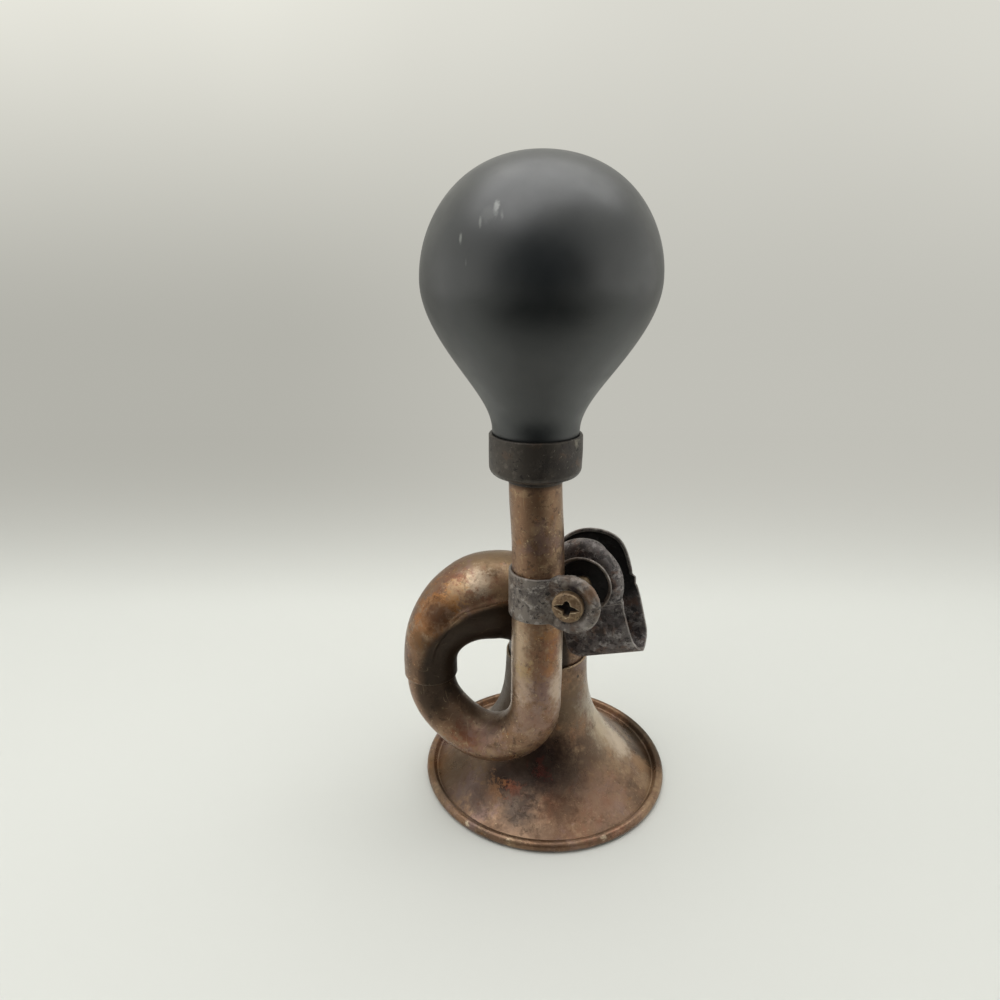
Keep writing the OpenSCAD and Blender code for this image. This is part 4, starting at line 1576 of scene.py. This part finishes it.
@dataclass
class BarClamp:
    """Strap, folded clip, screw, washers and nut."""

    yaw: float = 22.0  # Turn of the clamp round the tube in degrees
    height: float = 69.8  # Height of the screw
    screw_x: float = 9.533  # Distance of the screw from the tube's axis
    shaft_r: float = 2.0  # Radius of the screw
    head_r: float = 3.85  # Radius of its head
    head_h: float = 2.4  # Height of its head
    head_y: float = -5.06  # Place of the head's seat along the screw
    washer_y: float = 19.193  # Place of the plain washer
    tail_y: float = 25.99  # Place of the screw's end
    pitch: float = 0.7  # Pitch of the thread
    flats: float = 7.0  # Width of the nut over its flats
    nut_h: float = 3.2  # Height of the nut
    band_r: float = 6.93  # Radius of the middle of the strap's band
    band_h: float = 11.7  # Height of the band
    sheet: float = 0.8  # Thickness of the strap
    ear_r: float = 7.6  # Radius of the front ear
    ear_y: float = -4.6  # Place of the front ear along the screw
    bead_h: float = 1.1  # Height of the bead round the front ear
    bead_r: float = 6.0  # Radius of the bead's crest
    cup_y: float = 7.93  # Place of the rear ear along the screw
    cup_h: float = 1.3  # Depth of the rear ear's cup
    tilt: float = 18.0  # Lean of the clip in degrees
    step_down: float = 6.5  # Distance from the screw to the lower edge of the clip's boss
    cup_r: float = 7.5  # Radius of the rear ear's cup
    flange_r: float = 8.9  # Radius at which the clip's rear end turns into its flange
    flange_bend: float = 1.1  # Radius of that bend
    flange_y: float = 18.74  # Place of the rear end's middle along the screw
    flange_end: float = 114.0  # Angle from the top at which the flange ends
    flange_turn: float = 78.0  # Greatest angle of the bend
    flange_reach: float = 10.56  # Radius of the bent edge before it is drawn
    # Radius to which it is drawn, at angles from the top
    flange_line: Table = ((20, 38, 52, 63, 73, 84, 96, 106, 116),
                          (11.55, 11.7, 11.75, 11.25, 10.75, 10.4, 10.3, 10.55, 10.7))
    # Shift of the rear's right edge, at places down the clip
    edge_rear: Table = ((4, 6, 7, 10, 13, 16, 19, 21, 23),
                        (0, 0.5, 0.9, 0.9, 0.7, 0.5, 0.3, 0, -0.5))
    # Shift of the front's right edge, at places down the clip
    edge_front: Table = ((-11, -9, -7, 3, 6, 7.5, 10, 16, 19, 21, 22.5),
                         (-0.3, -0.9, -1.6, -1.5, -1.2, -1.2, -1.8, -1.9, -1.7, -1.1, -0.4))
    # Shift of the front's left edge, at places down the clip
    edge_left: Table = ((9, 14, 18, 20, 22), (0, -1.1, -1.5, -1.1, 0.4))
    cross_arms: tuple[float, ...] = (3.3, 2.1, 3.3, 2.4)  # Lengths of the arms of the cross recess
    # Depth, share of the arms and waist at each step of the recess
    cross_steps: tuple[Point, ...] = (
        (-1.0, 1.0, 1.35), (0.5, 1.0, 1.3), (1.1, 0.78, 1.05), (1.8, 0.4, 0.55))
    clip_split: float = 12.5  # Place along the screw that parts the clip's front from its rear
    clip_rear: float = 16.5  # Place along the screw behind which the clip's rear end lies
    clip_half: float = 9.2  # Half the width of the clip
    hole_gap: float = 0.1  # Room round the screw in the nut and the washers
    washer_h: float = 0.8  # Thickness of the plain washer
    spring_h: float = 1.0  # Thickness of the spring washer
    washer_share: float = 0.66  # Radius of the plain washer over the nut's flats
    spring_share: float = 0.54  # Radius of the spring washer over the nut's flats
    thread_from: float = 10.0  # Length of the plain shaft under the head
    thread_h: float = 0.36  # Depth of the thread
    # Places along the screw between which the strap's holes are cut
    hole_ends: tuple[float, float] = (-9.0, 12.0)
    strap_grid: float = 0.16  # Grid of the strap's mesh
    clip_grid: float = 0.17  # Grid of the clip's mesh
    passes: int = 4  # Rounds of smoothing on both
    sides: int = 72  # Points on each ring

    def frame_axes(self) -> tuple[Array, Array, Array]:
        """Axes of the clamp.

        Returns:
            A point on the screw's axis, the way along the ears and the way along the screw.
        """
        a = math.radians(self.yaw)
        ears = np.array([math.cos(a), -math.sin(a), 0])
        along = np.array([math.sin(a), math.cos(a), 0])
        return np.array([*TUBE_AXIS, self.height]) + self.screw_x * ears, ears, along

    def ring(self, y: float, radius: Array | float) -> Array:
        """A ring round the screw.

        Args:
            y: Place along the screw.
            radius: Radius, or one radius per point.

        Returns:
            The ring's points.
        """
        origin, ears, along = self.frame_axes()
        turn = full_turn(self.sides)
        r = np.broadcast_to(radius, turn.shape)
        return (origin + y * along + np.outer(r * np.cos(turn), ears)
                + np.outer(r * np.sin(turn), UP))

    def pole(self, y: float) -> Point:
        """Point on the screw's axis."""
        origin, _, along = self.frame_axes()
        return tuple(origin + y * along)

    def local(self, points: Array) -> Array:
        """Points measured from the screw: along the ears, along the screw and up."""
        origin, ears, along = self.frame_axes()
        return (points - origin) @ np.stack([ears, along, UP], axis=1)

    def strap_line(self) -> Array:
        """Middle of the strap in plan.

        Returns:
            Points from the front ear's end round the tube to the rear ear's.
        """
        r = self.band_r
        leave = math.radians(30)
        ear_end, cup_end = self.screw_x + self.ear_r, self.screw_x + self.cup_r
        front = [(x, self.ear_y) for x in ear_end - self.ear_r * (1 - np.cos(np.linspace(0.02, 1.5, 70)))]
        ramp = [(x, self.ear_y - drop) for x, drop in (
            (6.6, 0.0), (6.1, 0.03), (5.7, 0.1), (5.2, 0.32), (4.6, 0.68))]
        ramp.append((4.0, -r * math.cos(leave) + 0.33))
        band = [(r * math.sin(p), -r * math.cos(p)) for p in np.linspace(leave, -math.pi, 150)]
        rim = self.cup_y - self.cup_h
        rise = [(x, r + (rim - r) * float(smooth((x - 0.8) / 1.4))) for x in np.linspace(0.4, 4.6, 16)]
        back = [(x, rim) for x in cup_end - (cup_end - 4.8) * (1 - np.sin(np.linspace(0.02, 1.55, 70)))]
        return np.array([p for p in front if p[0] > 6.9] + ramp + band + rise + back)

    def strap(self) -> Object:
        """Strap bent from one sheet, with a beaded front ear and a cupped rear ear.

        Returns:
            The strap.
        """
        line = self.strap_line()
        run = unit_rows(np.gradient(line, axis=0))
        normal = np.stack([-run[:, 1], run[:, 0]], axis=1)
        x, y = line.T
        ear, cup = y < -2.5, y > 6.0
        high = np.full(len(line), self.band_h / 2)
        for part, r in ((ear, self.ear_r), (cup, self.cup_r)):
            disc = np.sqrt(np.maximum(r ** 2 - (x - self.screw_x) ** 2, 1e-4))
            high = np.where(part & (x > self.screw_x - r), np.where(x > self.screw_x, disc, np.maximum(
                disc, self.band_h / 2)), high)
        share = np.linspace(-1, 1, 61)
        z = np.outer(high, share)
        flat = np.repeat(line[:, None, :], len(share), axis=1)
        away = np.hypot(flat[:, :, 0] - self.screw_x, z)
        lift = np.zeros_like(z)
        across = (flat[:, :, 0] - self.screw_x) / np.maximum(away, 1e-6)
        brow = self.ear_r - self.bead_r
        bead = np.where(away < self.bead_r, smooth((away - self.bead_r + 2.5) / 2.5),
                        np.sqrt(np.clip(1 - ((away - self.bead_r) / brow) ** 2, 0, 1)))
        lift -= np.where(ear[:, None], self.bead_h * bead * smooth((across + 0.72) / 0.7), 0)
        lift += np.where(cup[:, None], self.cup_h * smooth((self.cup_r - 0.25 - away) / 1.0), 0)
        origin, ears, along = self.frame_axes()
        origin = origin - self.screw_x * ears
        sides = []
        for offset in (self.sheet / 2, -self.sheet / 2):
            plan = flat + offset * normal[:, None, :]
            sides.append(origin + plan[:, :, :1] * ears + (plan[:, :, 1:] + lift[:, :, None]) * along
                         + z[:, :, None] * UP)
        rings = [np.concatenate([front, back[::-1]]) for front, back in zip(*sides)]
        skin = Skin().capped(rings)
        draft = skin.piece("strap_band", skin.array() / MM)
        first, last = [tuple(c / MM for c in self.pole(y)) for y in self.hole_ends]
        hole = Skin().loft([self.ring(y, self.shaft_r + 0.12) / MM for y in self.hole_ends],
                           first=first, last=last)
        return soften(cut(draft, hole.piece("hole_tool")), self.strap_grid, self.passes)

    def clip_axes(self) -> Array:
        """Axes of the clip.

        Returns:
            Ways across the clip, along the screw and down the clip, as rows.
        """
        _, ears, along = self.frame_axes()
        tilt = math.radians(self.tilt)
        return np.stack([math.cos(tilt) * ears + math.sin(tilt) * UP, along,
                         math.sin(tilt) * ears - math.cos(tilt) * UP])

    def press_clip(self, points: Array, pairs: Array) -> Array:
        """Softens the boss, turns the rear end's flange and draws in the edges.

        Args:
            points: Points of the clip in millimetres.
            pairs: Its edges.

        Returns:
            The pressed points.
        """
        origin, axes = self.frame_axes()[0], self.clip_axes()
        _, y, down = axes @ (points - origin).T
        weight = np.exp(-((down - self.step_down) / 2.2) ** 4) * (y < self.clip_split)
        points = melt(points, pairs, weight, axes[1], 160)
        local = self.draw_edges(self.turn_flange((points - origin) @ axes.T))
        away = np.maximum(np.hypot(local[:, 0], local[:, 2]), 1e-6)
        local[:, [0, 2]] *= np.maximum(1, (self.shaft_r + 0.2) / away)[:, None]
        return origin + local @ axes

    def turn_flange(self, local: Array) -> Array:
        """Turns the round rear end's edge towards the boss.

        Args:
            local: Points across, along the screw and down the clip.

        Returns:
            The bent points.
        """
        across, y, down = local.T
        away = np.maximum(np.hypot(across, down), 1e-6)
        turn = np.degrees(np.arctan2(across, -down))
        part = (y > self.clip_rear) * smooth((self.flange_end - np.abs(turn)) / 9)
        run = np.maximum(away - self.flange_r, 0)
        bend = np.minimum(run / self.flange_bend, math.radians(self.flange_turn))
        rest = run - self.flange_bend * bend
        skin = y - self.flange_y
        reach = (np.minimum(away, self.flange_r) + self.flange_bend * np.sin(bend)
                 + rest * np.cos(bend) + skin * np.sin(bend))
        fall = self.flange_bend * (1 - np.cos(bend)) + rest * np.sin(bend)
        # The outline is smoothed over 17 degrees
        grid = np.arange(-200.0, 201.0)
        full = np.interp(grid, *self.flange_line)
        full = np.interp(turn, grid[8:-8], np.convolve(full, np.full(17, 1 / 17), "valid"))
        reach *= 1 + (full / self.flange_reach - 1) * smooth((away - 5) / 4)
        share = reach / away
        bent = np.stack([across * share, self.flange_y - fall + skin * np.cos(bend), down * share], axis=1)
        return local + part[:, None] * (bent - local)

    def draw_edges(self, local: Array) -> Array:
        """Draws the clip's right edges, and the left edge of its front, to the hand-bent outline.

        Args:
            local: Points across, along the screw and down the clip.

        Returns:
            The moved points.
        """
        across, y, down = local.T
        rear = smooth((y - self.clip_split) / 3)
        behind, front, left = [np.interp(down, *table) for table in (
            self.edge_rear, self.edge_front, self.edge_left)]
        moved = local.copy()
        moved[:, 0] += ((rear * behind + (1 - rear) * front)
                        * np.clip(across / self.clip_half, 0, 1) ** 1.5)
        moved[:, 0] += (1 - rear) * left * np.clip(-across / self.clip_half, 0, 1) ** 1.5
        return moved

    def screw(self) -> Object:
        """Pan head screw with a cross recess and a cut thread.

        Returns:
            The screw.
        """
        top = self.head_y - self.head_h
        turn = full_turn(self.sides)
        rings = []
        for a in np.linspace(6, 90, 14):
            rings.append(self.ring(top + self.head_h * 0.5 * (1 - math.cos(math.radians(a)) ** 0.5)
                                   if a < 90 else top + self.head_h * 0.5,
                                   self.head_r * math.sin(math.radians(a)) ** 0.8))
        for y, r in ((0.7, 1.0), (0.92, 0.99), (0.99, 0.96), (1.0, 0.93)):
            rings.append(self.ring(top + self.head_h * y, self.head_r * r))
        rings.append(self.ring(self.head_y, self.shaft_r))
        rings.append(self.ring(self.head_y + self.thread_from, self.shaft_r))
        start = self.thread_from + 0.2
        for y in np.arange(self.head_y + start, self.tail_y - 0.3, 0.09):
            wave = np.abs(((y / self.pitch - turn / (2 * math.pi)) % 1.0) * 2 - 1)
            depth = self.thread_h * float(smooth((y - self.head_y - start) / 1))
            rings.append(self.ring(y, self.shaft_r - depth * wave))
        rings.append(self.ring(self.tail_y, self.shaft_r - 0.55))
        skin = Skin().loft(rings, first=self.pole(top), last=self.pole(self.tail_y))
        return cut(skin.piece("pan_screw"), self.cross(top))

    def cross(self, top: float) -> Object:
        """Tool that cuts the cross recess.

        Args:
            top: Place of the head's crown along the screw.

        Returns:
            The tool.
        """
        origin, ears, along = self.frame_axes()
        twist = math.radians(-1.5)
        right, above = (math.cos(twist) * ears + math.sin(twist) * UP,
                        -math.sin(twist) * ears + math.cos(twist) * UP)
        rings = []
        for y, reach, waist in self.cross_steps:
            star = []
            for k in range(16):
                a = k * math.pi / 8
                arm = self.cross_arms[((k + 1) // 4) % 4] * reach
                tip, beside = k % 4 == 0, k % 4 in (1, 3)
                upright = (k + 1) // 4 % 2 == 1
                u = arm if tip else (0.88 if upright else 0.68) * arm if beside else waist
                bend = math.copysign(0.04 if upright else 0.32, 2 - k % 4) * math.pi / 8 if beside else 0.0
                star.append(origin + (top + y) * along + u * (math.cos(a - bend) * right
                                                              + math.sin(a - bend) * above))
            rings.append(np.array(star))
        return Skin().capped(rings).piece("cross_tool")

    def nut(self) -> Object:
        """Hexagon nut with rounded corners at both faces.

        Returns:
            The nut.
        """
        y = self.washer_y + self.washer_h + self.spring_h
        turn = full_turn(self.sides)
        hexagon = self.flats / 2 / np.cos((turn % (math.pi / 3)) - math.pi / 6)
        corner = self.flats / 2 / math.cos(math.pi / 6)
        rings = []
        for share in np.linspace(0, 1, 15):
            end = min(share, 1 - share) * self.nut_h
            swell = (corner - self.flats / 2 + 0.1) * min(1, end / 0.55) ** 0.7
            rings.append(self.ring(y + share * self.nut_h, np.minimum(
                hexagon, self.flats / 2 - 0.08 + swell)))
        bore, mouth = self.shaft_r + self.hole_gap, self.shaft_r + 0.5
        rings += [self.ring(y + self.nut_h, mouth), self.ring(y + self.nut_h - 0.4, bore),
                  self.ring(y + 0.4, bore), self.ring(y, mouth)]
        return Skin().loft(rings, wrap=True).piece("hex_nut")

    def washers(self) -> list[Object]:
        """Plain washer and split spring washer.

        Returns:
            Both washers.
        """
        hole = self.shaft_r + self.hole_gap
        wide, thick = self.flats * self.washer_share, self.washer_h
        flat = rounded([(hole, 0, 0.12), (wide, 0, 0.2), (wide, thick, 0.3), (hole, thick, 0.12)], 4)
        plain = Skin().loft([self.ring(self.washer_y + y, r) for r, y in flat], wrap=True)
        wide, thick = self.flats * self.spring_share, self.spring_h
        coil = rounded([(hole, 0, 0.12), (wide, 0, 0.15), (wide, thick, 0.15), (hole, thick, 0.12)], 3)
        origin, ears, along = self.frame_axes()
        rings = []
        for a in np.radians(np.linspace(8, 352, 60)):
            out = math.cos(a) * ears + math.sin(a) * UP
            rings.append(np.array([origin + (self.washer_y + self.washer_h + y) * along + r * out
                                   for r, y in coil]))
        split = Skin().capped(rings)
        return [plain.piece("flat_washer"), split.piece("spring_washer")]

    def build(self, strap: Material, clip: Material,
              screw: Material) -> list[Object]:
        """Builds and dresses the clamp.

        Args:
            strap: Finish of the strap.
            clip: Finish of the clip, the nut and the washers.
            screw: Finish of the screw.

        Returns:
            The pieces.
        """
        band = self.strap()
        x, y, z = self.local(read_vectors(band.data) / MM).T
        # Painted shade: the inside of the rear ear's cup is near black
        paint(band, smooth((self.cup_r - 0.75 - np.hypot(x, z)) / 0.5) * (y > 5))
        fold = soften(draft_copy("bar_clip", "folded_clip"), self.clip_grid, self.passes,
                      self.press_clip)
        axes = self.clip_axes()
        local = (read_vectors(fold.data) / MM - self.frame_axes()[0]) @ axes.T
        facing = read_vectors(fold.data, "normal") @ axes.T
        radial = local[:, [0, 2]] / np.maximum(np.hypot(local[:, 0], local[:, 2]), 1e-6)[:, None]
        turned = np.maximum(facing[:, 1], (facing[:, [0, 2]] * radial).sum(axis=1))
        # Painted shade: faces turned inward in the clip's upper rear are near black
        paint(fold, smooth((0.45 - turned) / 0.5) * smooth((local[:, 1] - self.clip_split) / 1.5)
              * smooth((12.5 - local[:, 2]) / 6))
        pan = self.screw()
        x, y, z = self.local(read_vectors(pan.data) / MM).T
        # Painted shade: the cross recess is near black below 0.6 mm
        paint(pan, smooth((y - self.head_y + self.head_h - 0.6) / 0.3) * (np.hypot(x, z) < 3.2)
              * (y < self.head_y - 0.2))
        made = [dress(band, strap, Body.STRAP, ["tube_strap"]),
                dress(fold, clip, Body.CLIP, ["bar_clip"]),
                dress(pan, screw, Body.SCREW, ["clamp_screw"])]
        for obj, node in zip([self.nut(), *self.washers()], ("clamp_nut", "nut_washer", "lock_washer")):
            made.append(dress(obj, clip, Body.CLIP, [node]))
        return made


@dataclass
class InnerPieces:
    """Pieces inside the neck, the tube and the rim, with the frame's own shapes."""

    # Nodes in the tube's top, with the piece's name and its body
    neck: tuple[tuple[str, str, Body], ...] = (
        ("neck_nipple", "brass_nipple", Body.HORN), ("neck_binding", "binding_wire", Body.HORN),
        ("neck_washer", "leather_ring", Body.HORN), ("reed_holder", "reed_plug", Body.HORN),
        ("reed_wedge", "reed_key", Body.HORN), ("reed_tongue", "reed_leaf", Body.REED))
    wire: str = "rim_wire"  # Node in the rim, which only gets a finish

    @staticmethod
    def leaned(node: str, name: str) -> Object:
        """Copies a node of the frame, leaned with the tube's top.

        Args:
            node: Name of the node.
            name: Name of the piece.

        Returns:
            The piece.
        """
        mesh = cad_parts[node].data.copy()
        drop_layers(mesh, "custom_normal", "edge")
        work = bmesh.new()
        work.from_mesh(mesh)
        bmesh.ops.remove_doubles(work, verts=work.verts, dist=1e-7)
        work.to_mesh(mesh)
        work.free()
        mesh.vertices.foreach_set("co", (shift_plan(read_vectors(mesh) / MM) * MM).ravel())
        mesh.update()
        return finish_mesh(name, mesh)

    def build(self, brass: Material, leather: Material) -> list[Object]:
        """Builds and dresses the pieces.

        Args:
            brass: Finish of the brass pieces.
            leather: Finish of the washer.

        Returns:
            The pieces.
        """
        made = []
        for node, name, body in self.neck:
            soft = node == "neck_washer"
            made.append(dress(self.leaned(node, name), leather if soft else brass, body,
                              [node]))
        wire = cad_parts[self.wire]
        wire.data.materials.clear()
        wire.data.materials.append(brass)
        return made


# Each pair is mixed: the floor's by a pattern, the wall's from left to right
FLOOR = (srgb(219, 220, 215), srgb(209, 210, 205))
# Painted shade of the floor in front of the horn, for all rays but the camera's
FLOOR_AHEAD = srgb(44, 44, 42)
# Painted light on the wall's glow: darker low, lighter high
WALL_LOW = (srgb(178, 177, 169), srgb(193, 192, 184))
WALL_HIGH = (srgb(242, 241, 231), srgb(224, 223, 214))
WALL_CLOUD = srgb(186, 185, 177)
ROOM_FRONT = (0.088, 0.092, 0.096, 1)
ROOM_LEVEL = (1.15, 1.15, 1.09, 1)
ROOM_TOP = (0.62, 0.62, 0.59, 1)


@dataclass
class Studio:
    """Pale sweep, soft light and the camera."""

    camera_at: Point = (-11.595, -172.365, 145.645)  # Place of the camera in millimetres
    pitch: float = 18.5215  # How far the camera looks down in degrees
    lens: float = 24.95  # Focal length for a sensor of 36 mm
    half_width: float = 0.5  # Half the width of the sweep in metres
    front: float = -1.0  # Front edge of the sweep
    curve_start: float = 0.12  # Place at which the sweep starts to rise
    curve_r: float = 0.14  # Radius of the rise
    wall_top: float = 0.9  # Height of the sweep's upper edge

    def sweep(self) -> Object:
        """Floor that rises into a wall in one curve.

        Returns:
            The sweep.
        """
        line = [(self.front + (self.curve_start - self.front) * k / 8, 0.0) for k in range(9)]
        for a in np.linspace(0, math.pi / 2, 24)[1:]:
            line.append((self.curve_start + self.curve_r * math.sin(a), self.curve_r * (1 - math.cos(a))))
        line.append((self.curve_start + self.curve_r, self.wall_top))
        across = np.linspace(-self.half_width, self.half_width, 9)
        points = [(x, y, z) for y, z in line for x in across]
        n = len(across)
        faces = [(i * n + k, i * n + k + 1, (i + 1) * n + k + 1, (i + 1) * n + k)
                 for i in range(len(line) - 1) for k in range(n - 1)]
        mesh = bpy.data.meshes.new("paper_sweep")
        mesh.from_pydata(points, [], faces)
        mesh.shade_smooth()
        obj = put("paper_sweep", mesh)
        mesh.materials.append(self.paper())
        return obj

    @staticmethod
    def paper() -> Material:
        """Pale paper: the floor takes shadows; the wall glows with a painted grey that is lighter towards
        the top and changes from left to right.

        All rays but the camera's see the floor fade to a dark grey in front of the horn, a painted shade
        that the horn reflects.

        Returns:
            The material.
        """
        material = bpy.data.materials.new("pale_paper")
        material.use_nodes = True
        graph = Graph(material.node_tree)
        shader = material.node_tree.nodes["Principled BSDF"]
        place = graph.node("ShaderNodeTexCoord").outputs["Object"]
        split = graph.node("ShaderNodeSeparateXYZ", {"Vector": place})
        noise = graph.node("ShaderNodeTexNoise", {"Vector": place, "Scale": 5.0, "Detail": 2.0})
        floor = graph.mix(graph.math("MULTIPLY", noise.outputs[0], 0.2), *FLOOR)
        path = graph.node("ShaderNodeLightPath")
        # In metres: painted shade, darker towards the front, less so at the sides
        ahead = graph.math("MULTIPLY", graph.span(split.outputs["Y"], -0.045, -0.17), graph.span(
            graph.math("ABSOLUTE", split.outputs["X"]), 0.09, 0.28, 1.0, 0.25))
        dim = graph.mix(ahead, floor, FLOOR_AHEAD)
        graph.feed(shader.inputs["Base Color"], graph.mix(path.outputs["Is Camera Ray"], dim, floor))
        shader.inputs["Roughness"].default_value = 0.9
        shader.inputs["Specular IOR Level"].default_value = 0.15
        # Painted light on the wall: its glow is lighter towards the top and changes from left to right
        aside = graph.span(split.outputs["X"], -0.16, 0.06)
        grey = graph.mix(graph.span(split.outputs["Z"], 0.1, 0.34),
                         graph.mix(aside, *WALL_LOW), graph.mix(aside, *WALL_HIGH))
        grey = graph.mix(graph.span(noise.outputs[0], 0.3, 0.7, 0.0, 0.12), grey, WALL_CLOUD)
        glow = graph.node("ShaderNodeEmission", {"Color": grey})
        seen = graph.math("MAXIMUM", path.outputs["Is Camera Ray"], graph.math(
            "MAXIMUM", path.outputs["Is Glossy Ray"], path.outputs["Is Transmission Ray"]))
        share = graph.math("MULTIPLY", seen, graph.span(split.outputs["Y"], 0.1, 0.23))
        both = graph.node("ShaderNodeMixShader", {"Fac": share})
        graph.tree.links.new(shader.outputs[0], both.inputs[1])
        graph.tree.links.new(glow.outputs[0], both.inputs[2])
        graph.tree.links.new(both.outputs[0], material.node_tree.nodes["Material Output"].inputs["Surface"])
        return material

    @staticmethod
    def sky() -> None:
        """Soft light from above, behind and the sides, weak from the front, even for the camera."""
        world = bpy.data.worlds.new("soft_room")
        bpy.context.scene.world = world
        world.use_nodes = True
        graph = Graph(world.node_tree)
        shade = world.node_tree.nodes["Background"]
        way = graph.node("ShaderNodeSeparateXYZ", {
            "Vector": graph.node("ShaderNodeTexCoord").outputs["Generated"]})
        back = graph.span(way.outputs["Y"], -0.87, -0.5)
        up = graph.span(way.outputs["Z"], -0.1, 0.8)
        high = graph.mix(up, ROOM_LEVEL, ROOM_TOP)
        room = graph.mix(back, ROOM_FRONT, high)
        seen = graph.node("ShaderNodeLightPath").outputs["Is Camera Ray"]
        graph.feed(shade.inputs["Color"], graph.mix(seen, room, ROOM_TOP))
        shade.inputs["Strength"].default_value = 1.0

    @staticmethod
    def lamp(name: str, place: Point, aim: Point, size: tuple[float, float],
             watts: float) -> Object:
        """Adds a soft box.

        Args:
            name: Name of the lamp.
            place: Its place in metres.
            aim: Point that it faces.
            size: Width and height in metres.
            watts: Its power.

        Returns:
            The lamp.
        """
        light = bpy.data.lights.new(name, "AREA")
        light.shape = "RECTANGLE"
        light.size, light.size_y = size
        light.energy = watts
        obj = put(name, light)
        obj.location = place
        obj.rotation_euler = (Vector(aim) - Vector(place)).to_track_quat("-Z", "Y").to_euler()
        obj.visible_camera = False
        return obj

    def camera(self) -> Object:
        """Camera at the viewing angle of the picture.

        Returns:
            The camera.
        """
        lens = bpy.data.cameras.new("view")
        lens.sensor_width = 36.0
        lens.lens = self.lens
        lens.clip_start, lens.clip_end = 0.01, 10.0
        obj = put("view", lens)
        obj.location = [c * MM for c in self.camera_at]
        obj.rotation_euler = (math.radians(90 - self.pitch), 0, 0)
        bpy.context.scene.camera = obj
        return obj

    def build(self) -> None:
        """Sets up the whole studio."""
        bpy.context.scene.view_settings.view_transform = "Standard"
        self.camera()
        self.sweep()
        self.sky()
        self.lamp("overhead", place=(-0.02, 0.03, 0.6), aim=(0.0, 0.0, 0.06), size=(1.0, 0.55),
                  watts=3.6)


def main() -> None:
    """Builds the studio and dresses the horn."""
    logging.basicConfig(level=logging.INFO, format="%(name)s: %(message)s")
    Studio().build()
    effects = Effects()
    rubber, collar, tube, crook, bell, strap, clip, screw, brass, leather = [
        finish.build(effects) for finish in (
            RUBBER, COLLAR_METAL, TUBE_PATINA, CROOK_PATINA, BELL_PATINA, CLAMP_STEEL, CLIP_STEEL,
            SCREW_METAL, CLEAN_BRASS, LEATHER)]
    RubberBulb().build(rubber)
    TopCup().build(collar)
    HornTube().build(tube)
    LoopCrook().build(crook)
    FlaredBell().build(bell)
    BarClamp().build(strap, clip, screw)
    InnerPieces().build(brass, leather)


if __name__ == "__main__":
    main()
